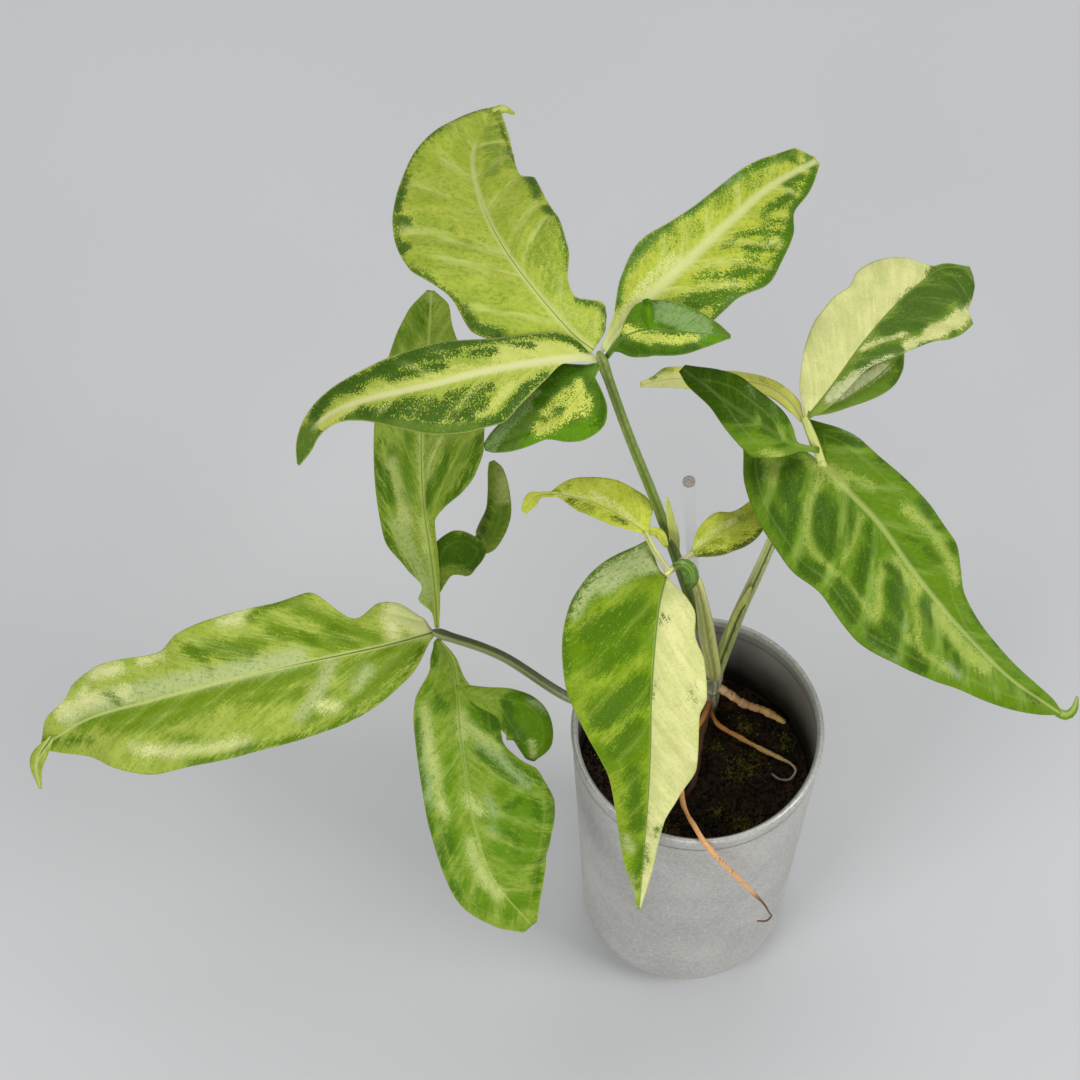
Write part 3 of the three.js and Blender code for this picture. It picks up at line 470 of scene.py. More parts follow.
def between(pairs, t):
    """A smooth value at each t through (t, value) pairs, which never overshoots them."""
    knots, values = np.array(pairs, float).T
    slopes = np.diff(values) / np.diff(knots)
    ends = np.r_[slopes[0], np.zeros(len(knots) - 2), slopes[-1]]
    same = slopes[:-1] * slopes[1:] > 0
    ends[1:-1][same] = 2 * (slopes[:-1] * slopes[1:])[same] / (slopes[:-1] + slopes[1:])[same]
    k = np.clip(np.searchsorted(knots, t, side="right") - 1, 0, len(knots) - 2)
    span = knots[k + 1] - knots[k]
    u = (t - knots[k]) / span
    rise = u * u * (3 - 2 * u)
    return (values[k] * (1 - rise) + values[k + 1] * rise + u * (1 - u) ** 2 * span * ends[k]
            + u * u * (u - 1) * span * ends[k + 1])


def unit(vectors):
    return vectors / np.linalg.norm(vectors, axis=-1, keepdims=True)


def rod(path, radii, front, section=None, sides=16, step=1.5, cap=0.6):
    """A closed tube on a path. front is the side that angle 0 faces, section(angles, t) shapes its
    cross-section and cap is how far each end bulges, in radii. Returns points in mm and faces,
    and for each point the cosine and sine of its angle and how far along the path it is."""
    line, length = curve_through(path, step)
    t = np.linspace(0, 1, len(line))
    tangent = unit(np.gradient(line, axis=0))
    radius = between(radii, t)
    normal = np.array(front, float)
    angles = np.arange(sides) * 2 * np.pi / sides
    rings = []
    for i in range(len(line)):
        normal = unit(normal - normal @ tangent[i] * tangent[i])
        side = np.cross(tangent[i], normal)
        scale = section(angles, t[i]) if section else np.ones(sides)
        out = np.cos(angles)[:, None] * normal + np.sin(angles)[:, None] * side
        rings.append((line[i], out * (scale * radius[i])[:, None], t[i] * length))
    (first, first_out, _), (last, last_out, _) = rings[0], rings[-1]
    start = tangent[0] * radius[0] * cap
    stop = tangent[-1] * radius[-1] * cap
    rings = [(first - start * push, first_out * shrink, 0) for push, shrink in reversed(CAP_RINGS)] + rings
    rings += [(last + stop * push, last_out * shrink, length) for push, shrink in CAP_RINGS]
    points = np.vstack([first - start, *[middle + out for middle, out, _ in rings], last + stop])
    numbers = {"front": np.r_[1, np.tile(np.cos(angles), len(rings)), 1],
               "flank": np.r_[0, np.tile(np.sin(angles), len(rings)), 0],
               "run": np.r_[0, np.repeat([along for _, _, along in rings], sides), length]}
    return points, closed_faces(len(rings), sides), numbers


STAKE_PATH = [(4.7, 34, 62), (-0.6, 34, 148), (-6, 34, 233)]
STAKE_RADIUS = 1.9
clear, tree, shader = new_material("clear_acrylic", roughness=0.08, specular=0.4)
shader["Alpha"].default_value = 0.13
haze = noise(tree, place(tree, (1, 1, 0.1)), 900, 2.0)
wire(tree, shader["Base Color"], blend(tree, haze, "b8bab6", "d8dad6"))
stake = rod(STAKE_PATH, [(0, STAKE_RADIUS), (1, STAKE_RADIUS)], (0, -1, 0), sides=24, step=8, cap=0.05)
add_piece("clear_stake", stake, clear, "stake")

SAWN_PATH = [(-5.92, 34, 232.6), (-5.96, 34, 233), (-6, 34, 233.4)]
SAWN_RADIUS = 1.93
frosted, tree, shader = new_material("sawn_acrylic", roughness=0.45, specular=0.4)
shader["Alpha"].default_value = 0.62
haze = noise(tree, place(tree), 1600, 3.0)
wire(tree, shader["Base Color"], blend(tree, fade(haze, 0.3, 0.7), "7d756a", "a89f92"))
bump(tree, shader, haze, 0.0002)
sawn = rod(SAWN_PATH, [(0, SAWN_RADIUS), (1, SAWN_RADIUS)], (0, -1, 0), sides=24, step=0.3, cap=0.05)
add_piece("stake_sawn_end", sawn, frosted)


# Stem. A short rooted cutting stands in the soil. It is sage grey and faintly ribbed, with a raised
# ring at its node, and the stalks' clasping feet wrap its upper half.
STEM_PATH = [(6.5, 25, 100.8), (6.5, 26, 112), (6.7, 27, 127)]
STEM_RADII = [(0, 2.2), (0.3, 2.4), (0.42, 2.6), (0.47, 3.1), (0.52, 2.7), (0.75, 3), (1, 2.5)]
STEM_RING = 12.3


def knobbly(angles, t):
    return 1 + 0.05 * np.sin(5 * angles + 3 * t) + 0.04 * np.sin(3 * angles - 9 * t)


cutting, tree, shader = new_material("stem_skin", roughness=0.6)
ribs = noise(tree, place(tree, (1, 1, 0.12)), 900, 3.0)
blotch = noise(tree, place(tree), 220, 3.0)
run = read(tree, "run")
skin = blend(tree, fade(ribs, 0.35, 0.65), "868a68", "bcbe9c")
skin = blend(tree, fade(run + blotch * 8, 5, 10), "6b5a42", skin)
skin = blend(tree, fade(abs(run - STEM_RING), 0.2, 0.9, 0.7, 0), skin, "4c4a35")
wire(tree, shader["Base Color"], skin)
bump(tree, shader, ribs, 0.0004, 0.7)
stem = rod(STEM_PATH, STEM_RADII, (0, -1, 0.2), knobbly, sides=28, step=0.6)
add_piece("cut_stem", stem, cutting, "stem")


# Leaf stalks. Four fleshy stalks rise from the stem. Each is nearly round, with two low ridges and a
# shallow dark channel along the face it turns to the light, and its foot sheathes the stem.
def channelled(depth, wings=0.0):
    """A cross-section with a channel of that depth at angle 0 between two low ridges, and at the
    foot the wings of a sheath, which run out by half way."""
    def section(angles, t):
        off = np.abs(np.angle(np.exp(1j * angles)))
        ridges = 0.1 * np.exp(-(((off - 0.75) / 0.28) ** 2))
        channel = depth * np.exp(-((off / 0.42) ** 2))
        wing = wings * np.clip(1 - t / 0.55, 0, 1) ** 0.5 * np.exp(-(((off - 1.15) / 0.3) ** 2))
        return 1 - channel + ridges + wing
    return section


def stalk_skin(name, body, shade, edge, channel, tan=None, top=None):
    """Green stalk flesh with a dark channel, a pale ridge on its left and fine long streaks. Each
    band in channel is the sine of its middle's angle, its half width, its colour and its strength.
    tan tints the foot, and above the height in top, in mm, the flesh has the colour in top."""
    material, tree, shader = new_material(name, roughness=0.42)
    where = place(tree)
    streaks = noise(tree, place(tree, (1, 1, 0.14)), 1100, 3.0, 0.6)
    clouds = noise(tree, where, 55, 2.0)
    flesh = blend(tree, fade(streaks, 0.35, 0.65), shade, body)
    flesh = blend(tree, fade(clouds, 0.42, 0.62, 0, 0.45), flesh, shade)
    flank = read(tree, "flank") + (streaks - 0.5) * 0.35
    ahead = fade(read(tree, "front"), 0.0, 0.3)
    for centre, half, colour, strength in channel:
        mask = fade(abs(flank - centre), half * 0.6, half * 1.3, strength, 0) * ahead
        flesh = blend(tree, mask, flesh, colour)
    flesh = blend(tree, fade(flank, -0.55, -0.85, 0, 0.85), flesh, edge)
    if tan:
        flesh = blend(tree, fade(read(tree, "run") + clouds * 12, 8, 16, 0.6, 0), flesh, tan)
    if top:
        above = fade(axes(tree, where)[2], top[0] * MM, (top[0] + 3) * MM, 0, 0.9)
        flesh = blend(tree, above, flesh, blend(tree, streaks, top[1], body))
    wire(tree, shader["Base Color"], flesh)
    bump(tree, shader, streaks, 0.00025, 0.6)
    return material


def merge(*shapes):
    """Joins (points, faces, numbers) shapes into one."""
    faces, start = [], 0
    for shape in shapes:
        faces += [tuple(i + start for i in face) for face in shape[1]]
        start += len(shape[0])
    numbers = {key: np.concatenate([shape[2][key] for shape in shapes]) for key in shapes[0][2]}
    return np.vstack([shape[0] for shape in shapes]), faces, numbers


def sheet_faces(rows, columns):
    """The faces of a closed sheet whose points are its upper side row by row and then its lower."""
    under = rows * columns
    made = []
    for i in range(rows - 1):
        for j in range(columns - 1):
            a, b = i * columns + j, (i + 1) * columns + j
            made += [(a, a + 1, b + 1, b), (under + b, under + b + 1, under + a + 1, under + a)]
        left, right = i * columns, i * columns + columns - 1
        made.append((left, left + columns, under + left + columns, under + left))
        made.append((right + columns, right, under + right, under + right + columns))
    for j in range(columns - 1):
        tip = (rows - 1) * columns + j
        made.append((j, under + j, under + j + 1, j + 1))
        made.append((tip, tip + 1, under + tip + 1, under + tip))
    return made


SHEATH_THICKNESS = 0.44
SHEATH_CURL = 0.35


def sheath(name, path, front, left, right):
    """A thin flap of sheath along a path, with its width in mm to the left and right of it."""
    line, length = curve_through(path, 1.0)
    t = np.linspace(0, 1, len(line))
    tangent = unit(np.gradient(line, axis=0))
    normal = np.outer(np.ones(len(line)), front)
    normal = unit(normal - (normal * tangent).sum(1, keepdims=True) * tangent)
    side = np.cross(tangent, normal)
    across = np.linspace(-1, 1, 13)
    width = np.where(across[None] < 0, between(left, t)[:, None], between(right, t)[:, None])
    lift = SHEATH_CURL * width * across[None] ** 2
    middle = line[:, None] + side[:, None] * (width * across)[..., None] + normal[:, None] * lift[..., None]
    thick = SHEATH_THICKNESS / 2 * (1 - 0.6 * np.abs(across))[None, :, None] * normal[:, None]
    rows, columns = middle.shape[:2]
    points = np.vstack([(middle + thick).reshape(-1, 3), (middle - thick).reshape(-1, 3)])
    zero = np.zeros(2 * rows * columns)
    numbers = {"front": zero, "flank": zero, "run": np.tile(np.repeat(t * length, columns), 2)}
    add_piece(name, (points, sheet_faces(rows, columns), numbers), flap_skin)


def stalk(name, stands_for, skin, branches, front, section):
    """A stalk whose branches are each a path, its radii along it and how far its ends bulge."""
    rods = [rod(path, radii, front, section, sides=20, step=1.6, cap=cap) for path, radii, cap in branches]
    add_piece(name, merge(*rods), skin, stands_for)


FRONT_BRANCHES = [
    ([(6.3, 25, 124), (5.3, 22.3, 138), (3, 21, 156), (0.5, 20.5, 177), (-2, 20, 194), (-5, 20.5, 203),
      (-7.2, 22.8, 204)], [(0, 2.3), (0.2, 2.4), (0.45, 2.6), (0.72, 2.0), (0.95, 1.6), (1, 1.3)], 0.4),
    ([(-7, 22.8, 204), (-9.5, 20, 205.6), (-12.2, 17.3, 205.6)], [(0, 1.2), (0.4, 1), (1, 0.9)], 0.6),
    ([(-11.5, 18.4, 205.9), (-15.5, 24.5, 207), (-18.4, 31.2, 207)], [(0, 1.0), (0.4, 0.9), (1, 0.8)], 0.6),
    ([(-7, 22.8, 204), (-4.0, 25.5, 204)], [(0, 1.2), (0.4, 1), (1, 0.9)], 0.6)]
# The front stalk's flesh is paler than the stalk itself: partly its own pale green and partly painted light,
# making up for the shade the leaves above cast on it.
brightened_front_skin = stalk_skin("front_stalk_flesh_brightened", "e6e896", "ccd07a", "f2f0bc",
                        [(0.28, 0.2, "a4ac58", 0.8), (-0.35, 0.1, "b4ba64", 0.6), (0.85, 0.2, "ecec90", 0.9)],
                        "b8ae88")
stalk("front_stalk", "front_leaf_petiole", brightened_front_skin, FRONT_BRANCHES, (-0.1, -0.85, 0.5),
      channelled(0.14, 0.16))

RIGHT_BRANCHES = [
    ([(7, 26.3, 124), (8.5, 26.5, 135), (13, 29, 160.5), (18.5, 33, 182), (23.5, 37, 202), (29, 41, 216.5),
      (33.3, 44, 222.5), (35.8, 44.3, 226.4)],
     [(0, 2.4), (0.2, 2.2), (0.6, 1.8), (0.95, 1.6), (1, 1.3)], 0.5),
    ([(35.2, 45.3, 225.8), (32.5, 52, 228.5), (30, 57.6, 231.2)], [(0, 1.2), (0.5, 1.5), (1, 1.2)], 0.6)]
right_skin = stalk_skin("right_stalk_flesh", "c0c884", "a4ae68", "dfe09c",
                        [(0.1, 0.2, "56652e", 0.95), (-0.3, 0.12, "b9bf7c", 0.6)], "a89e78", (219, "ccd05a"))
stalk("right_stalk", "right_leaf_petiole", right_skin, RIGHT_BRANCHES, (-0.1, -0.8, 0.6),
      channelled(0.16, 0.1))
flap_skin = stalk_skin("sheath_flap", "dfe284", "c0c868", "ecec9c", [])
sheath("right_stalk_sheath",
       [(9.6, 26, 144), (10.9, 26.7, 153), (13, 28, 164), (14.8, 29, 172), (15.6, 28.9, 177)],
       (0.2, -0.95, 0.1), [(0, 1), (0.5, 2.2), (1, 0.6)], [(0, 0.6), (0.5, 1.2), (1, 0.6)])

TOP_STALK = [(6, 27.5, 124), (5, 28.3, 133), (2, 28.5, 148.5), (-2.5, 28.5, 168), (-8.5, 33, 190),
             (-15.5, 40, 212), (-24.5, 48, 239), (-32, 56.3, 263), (-33.4, 58.3, 266.7)]
TOP_RADII = [(0, 2.4), (0.2, 2.1), (0.6, 1.6), (0.93, 1.5), (0.98, 1.8), (1, 1)]
top_skin = stalk_skin("top_stalk_flesh", "8a9c44", "6c8030", "c4ca78", [(0.15, 0.3, "54681f", 0.8)], "a89e78")
stalk("top_stalk", "top_leaf_petiole", top_skin, [(TOP_STALK, TOP_RADII, 0.5)],
      (-0.1, -0.8, 0.6), channelled(0.14))
sheath("top_stalk_sheath",
       [(-5.6, 30.8, 183), (-8.4, 33.2, 191.5), (-9.4, 34.4, 202), (-11, 35.4, 212), (-12, 36.6, 219)],
       (-0.2, -0.95, 0.2), [(0, 0.6), (0.5, 1.6), (1, 0.6)], [(0, 0.6), (0.5, 1.8), (1, 0.6)])

LEFT_STALK = [(5.8, 26, 121), (1, 21, 128), (-10, 14, 132), (-26.5, 7.5, 137), (-41.5, 5.5, 146),
              (-63.5, 14.5, 158), (-84.6, 18.2, 167)]
LEFT_RADII = [(0, 2), (0.5, 1.7), (0.94, 1.6), (0.98, 1.8), (1, 1)]
left_skin = stalk_skin("left_stalk_flesh", "6b7845", "4c5a30", "9aa56a",
                       [(-0.45, 0.2, "98a368", 0.8), (0.3, 0.3, "3c4a24", 0.8)], "8d8468")
stalk("left_stalk", "left_leaf_petiole", left_skin, [(LEFT_STALK, LEFT_RADII, 0.5)],
      (0, -0.5, 0.85), channelled(0.14))


# Roots. The cutting has sent out four. A stout one and a thin looped one lie on the soil, a third
# arches over the rim and ends in a hair, and the oldest, dark one dives into the soil.
FULL_TURN = 6.28


def uneven(seed):
    """A cross-section that swells and shrinks along a root, a little differently for each seed."""
    phases = np.random.default_rng(seed).uniform(0, FULL_TURN, 4)

    def section(angles, t):
        swell = 0.09 * math.sin(37 * t + phases[0]) + 0.07 * math.sin(91 * t + phases[1])
        lobes = 0.07 * np.sin(2 * angles + 23 * t + phases[2])
        return 1 + swell + lobes + 0.05 * np.sin(3 * angles - 41 * t + phases[3])
    return section


def root_skin(name, stops, roughness=0.6):
    """Root bark whose colour changes along its length. stops holds (mm from the stem, colour)."""
    material, tree, shader = new_material(name, roughness=roughness)
    grain = noise(tree, place(tree), 900, 3.0, 0.6)
    along = read(tree, "run") + noise(tree, place(tree), 260) * 4.0
    colour = linear(stops[0][1])
    for (start, _), (end, code) in zip(stops, stops[1:]):
        colour = blend(tree, fade(along, start + 2, end + 2), colour, code)
    wire(tree, shader["Base Color"], blend(tree, fade(grain, 0.55, 0.72, 0, 0.7), colour, "4a2c16"))
    bump(tree, shader, grain, 0.0003, 0.8)
    return material


def root(name, stands_for, skin, path, radii, seed):
    """A root along a path, with its radii along it."""
    shape = rod(path, radii, (0, -1, 0.3), uneven(seed), sides=12, step=0.6)
    add_piece(name, shape, skin, stands_for)


root("stout_root", "root_thick",
     root_skin("stout_root_bark", [(0, "b5b07c"), (5, "f0c490"), (14, "f2bc84"), (24, "f2c078"),
                                   (30, "f5d27c")]),
     [(7, 25.5, 116), (12, 25, 111), (16.5, 24, 106.5), (20, 23.5, 104.5), (23.5, 23, 103), (27.5, 21, 102.5),
      (31, 18.5, 102.5)],
     [(0, 1.6), (0.1, 1.4), (0.85, 1.3), (0.96, 1.0), (1, 0.5)], 1)
root("looped_root", "root_looped",
     root_skin("looped_root_bark", [(0, "a5682e"), (10, "dc944c"), (28, "eec07c"), (36, "d9bc96"),
                                    (44, "a5a096")]),
     [(5.5, 23.5, 105), (8, 18, 103.5), (12, 15, 103), (16.5, 12.5, 102.5), (22.5, 9, 102), (29, 5.5, 102),
      (32.5, 3.5, 101.8), (34, 1, 101.6), (32, -2, 101.5), (28.5, -2, 101.5), (26, 0, 101.5)],
     [(0, 1.0), (0.1, 0.85), (0.6, 0.8), (0.72, 0.45), (1, 0.35)], 2)
root("rim_root", "root_over_rim",
     root_skin("rim_root_bark", [(0, "a5703c"), (20, "d2924e"), (45, "e4a866"), (112, "e2ac72"),
                                 (122, "6b4630")]),
     [(5.8, 24.5, 107), (3.5, 17, 110.5), (0, 8, 115), (-5, -10, 126), (-5.5, -24, 133), (-4, -31.5, 136.5),
      (-2, -36, 138), (0.5, -40.5, 137.6), (4, -43.5, 133.5), (8.5, -44, 124.5), (13.5, -44, 114),
      (18.5, -43.5, 102.5), (22.5, -43, 92.5), (24.5, -43, 86), (25.5, -43, 83), (24, -43.5, 80),
      (21, -44, 81)],
     [(0, 1.1), (0.1, 0.85), (0.8, 0.8), (0.87, 0.35), (1, 0.3)], 3)
root("diving_root", "root_into_soil",
     root_skin("old_root_bark", [(0, "6b4a30"), (12, "57371f"), (30, "4a2e1c")], 0.75),
     [(5.5, 23.5, 106), (2, 8.5, 106), (1, 1, 104), (-0.5, -4.5, 102.5), (-3, -8, 99.5), (-3.5, -8.5, 94)],
     [(0, 1.3), (0.1, 1.2), (0.9, 1.1), (1, 0.8)], 4)


# Leaf blades. Each leaf is cut into leaflets. A leaflet is a thin, slightly quilted sheet on a
# midrib, which is a groove above and a rib below, and its side veins sweep towards the tip.
# Sizes in mm.
LEAF_THICKNESS = 0.42
MARGIN_THICKNESS = 0.12
MARGIN_TAPER = 1.5
GROOVE_DEPTH = 0.28
RIB_HEIGHT = 0.8
MIDRIB_HALF = 1.3
GRID_STEP = 1.25
NARROW_BASE = 9
BASE_INSERT = 1.0
FREE_BASE = 1.6
CALM_BASE = 14
CALM_MARGIN = 3.5
# Shares of a leaflet's length.
BASE_ROUND = 0.07
HEEL_SHARE = 0.3
# Veins added beyond each end of those listed, and how deep and how ragged a marking's edge is.
EXTRA_VEINS = 12
FIELD_LIMIT = 3.0
EDGE_NOISE = 2.6


def outline_distance(flat, outline):
    """Distance in mm from each point to the nearest stretch of an outline or stroke."""
    best = np.full(len(flat), 1e9)
    for start, end in zip(outline[:-1], outline[1:]):
        line = end - start
        share = np.clip(((flat - start) @ line) / max(line @ line, 1e-9), 0, 1)
        best = np.minimum(best, np.linalg.norm(flat - start - share[:, None] * line, axis=1))
    return best


def marking(flat, strokes, place_on, soft):
    """How far inside the nearest stroke of a marking each point is, in units of soft mm. A stroke
    is its half width in mm, the most it adds, and then the points on its middle line: each per
    cent of the leaflet's length and per cent of its half width, which is negative to the left."""
    field = np.full(len(flat), -FIELD_LIMIT)
    for half, limit, *marks in strokes:
        line = np.array([place_on(at / 100, out / 100) for at, out in zip(marks[::2], marks[1::2])])
        field = np.maximum(field, np.minimum((half - outline_distance(flat, line)) / soft, limit))
    return np.clip(field, -FIELD_LIMIT, FIELD_LIMIT)


def blade(seed, midrib, faces, left, right, fold, droop, heel=(0, 0), heel_power=1.5, veined=1,
          veins=range(3, 363, 9), rise=1.2, bend=0.015, quilt=0.45, wave=0.9, wave_length=26, uneven=0.35,
          soft=1.6, cream_left=None, **strokes):
    """One leaf blade as a closed sheet: points in mm, faces and the numbers its material reads. Its
    faces are the ways that its base and tip look. Its left and right outlines are pairs of per
    cent of its length and mm from the midrib, and heel is how far each side reaches back."""
    line, length = curve_through(midrib, GRID_STEP)
    rows = len(line)
    t = np.linspace(0, 1, rows)
    tangent = unit(np.gradient(line, axis=0))
    up = np.outer(1 - t, faces[0]) + np.outer(t, faces[1])
    normal = unit(up - (up * tangent).sum(1, keepdims=True) * tangent)
    side = np.cross(tangent, normal)
    outlines = [[(at / 100, wide) for at, wide in outline] for outline in (left, right)]
    left, right = (between(outline, t) for outline in outlines)
    half_columns = max(3, math.ceil(max(left.max(), right.max()) / GRID_STEP))
    s = np.linspace(-1, 1, 2 * half_columns + 1)
    s = np.sign(s) * (1 - (1 - np.abs(s)) ** 1.15)
    a = np.abs(s)[None]
    width = np.where(s[None] < 0, left[:, None], right[:, None])
    heels = np.where(s < 0, *heel)[None]
    sweep = heels * np.clip(1 - t / HEEL_SHARE, 0, 1)[:, None] ** 2 * a**heel_power
    corner = -np.clip(width[:1] / 4, 0, 3) * a**6 * np.clip(1 - t / BASE_ROUND, 0, 1)[:, None] ** 2
    x = s[None] * width
    y = t[:, None] * length - sweep - corner
    grid = np.stack([x, y], -1)
    flat = grid.reshape(-1, 2)
    rim = np.minimum(outline_distance(flat, grid[:, 0]), outline_distance(flat, grid[:, -1]))
    for half in (x[0] < -FREE_BASE, x[0] > FREE_BASE):
        if half.sum() > 1:
            rim = np.minimum(rim, outline_distance(flat, grid[0, half]))
    rim = rim.reshape(x.shape)

    # Side veins: each leaves the midrib at one of the heights given and curves towards the tip.
    veins = np.array(veins, float)
    gaps = np.diff(veins)
    more = np.arange(1, EXTRA_VEINS + 1)
    steps = np.r_[veins[0] - gaps[0] * more[::-1], veins, veins[-1] + gaps[-1] * more]
    leave = y - rise * np.abs(x) + bend * x * x
    phase = np.interp(leave, steps, np.arange(len(steps)))
    gap = np.interp(leave, (steps[1:] + steps[:-1]) / 2, np.diff(steps)) / math.sqrt(1 + rise**2)
    off_vein = np.abs((phase + 0.5) % 1 - 0.5) * gap

    # Height off the plain sheet: quilting between veins, waves along the margin, slow unevenness.
    starts = np.random.default_rng(seed).uniform(0, FULL_TURN, 4)
    inside = np.clip(rim / CALM_MARGIN, 0, 1)
    away = np.clip(y / CALM_BASE, 0, 1) ** 1.5
    swell = np.sin(np.pi * np.clip(off_vein / np.maximum(gap, 1) * 2, 0, 1) * 0.5)
    high = quilt * swell * inside * np.clip(np.abs(x) / 3, 0, 1)
    crest = np.sin(y * FULL_TURN / wave_length + starts[0] + np.sign(x) * starts[2])
    high = high + wave * a**2.5 * away * crest * np.clip(width / 10, 0.2, 1)
    slow = np.sin(x * 0.19 + starts[1] + 0.06 * y) * np.cos(y * 0.13 + starts[3])
    slow = slow + 0.5 * np.sin(x * 0.41 - y * 0.23 + starts[2])
    high = high + uneven * slow * away * np.clip(np.abs(x) / 6, 0, 1)
    near = np.clip(1 - np.abs(x) / MIDRIB_HALF, 0, 1)
    groove = GROOVE_DEPTH * near**1.5 * (1 - 0.5 * t[:, None])
    rib = RIB_HEIGHT * np.clip(1 - t[:, None], 0, 1) ** 0.7 * near**0.7

    fold = math.radians(fold)
    lift = width * (a * math.sin(fold) - droop * a * a)
    middle = (line[:, None] + side[:, None] * (x * math.cos(fold))[..., None]
              + normal[:, None] * (lift + high)[..., None] - tangent[:, None] * (sweep + corner)[..., None])
    face = unit(np.cross(np.gradient(middle, axis=1), np.gradient(middle, axis=0)))
    thick = MARGIN_THICKNESS + (LEAF_THICKNESS - MARGIN_THICKNESS) * np.clip(rim / MARGIN_TAPER, 0, 1)
    upper = middle + face * (thick / 2 - groove)[..., None]
    lower = middle - face * (thick / 2 + rib)[..., None]
    if max(left[0], right[0]) < NARROW_BASE:
        push = BASE_INSERT * np.exp(-(x[0] / 2) ** 2)[:, None] * tangent[0]
        upper[0] -= push
        lower[0] -= push
    points = np.vstack([upper.reshape(-1, 3), lower.reshape(-1, 3)])

    def place_on(at, across):
        wide = between(outlines[across >= 0], np.array([at]))[0]
        back = heel[across >= 0] * max(0, 1 - at / HEEL_SHARE) ** 2
        return across * wide, at * length - back * abs(across) ** heel_power

    numbers = {"across": x, "along": np.repeat(t[:, None], len(s), 1), "phase": phase, "gap": gap, "rim": rim,
               "down": y, "seed": np.full(x.shape, float(seed)), "veined": np.full(x.shape, veined)}
    # The sheen marking is partly the leaf's own pale grey-green and partly painted sheen and glints.
    for key in ("green", "dark", "cream", "sheen"):
        numbers[key] = marking(flat, strokes.get(key, []), place_on, soft)
    if cream_left:
        along = np.minimum(t + 0.1, cream_left - t)[:, None] * length / 2
        half = np.minimum(np.minimum(-x / 0.25, (rim + 1) / 1.2), along)
        numbers["cream"] = np.maximum(numbers["cream"], np.clip(half.ravel(), -FIELD_LIMIT, FIELD_LIMIT))
    numbers = {key: np.tile(value.ravel(), 2) for key, value in numbers.items()}
    numbers["under"] = np.repeat([0, 1], len(flat))
    return points, sheet_faces(rows, len(s)), numbers


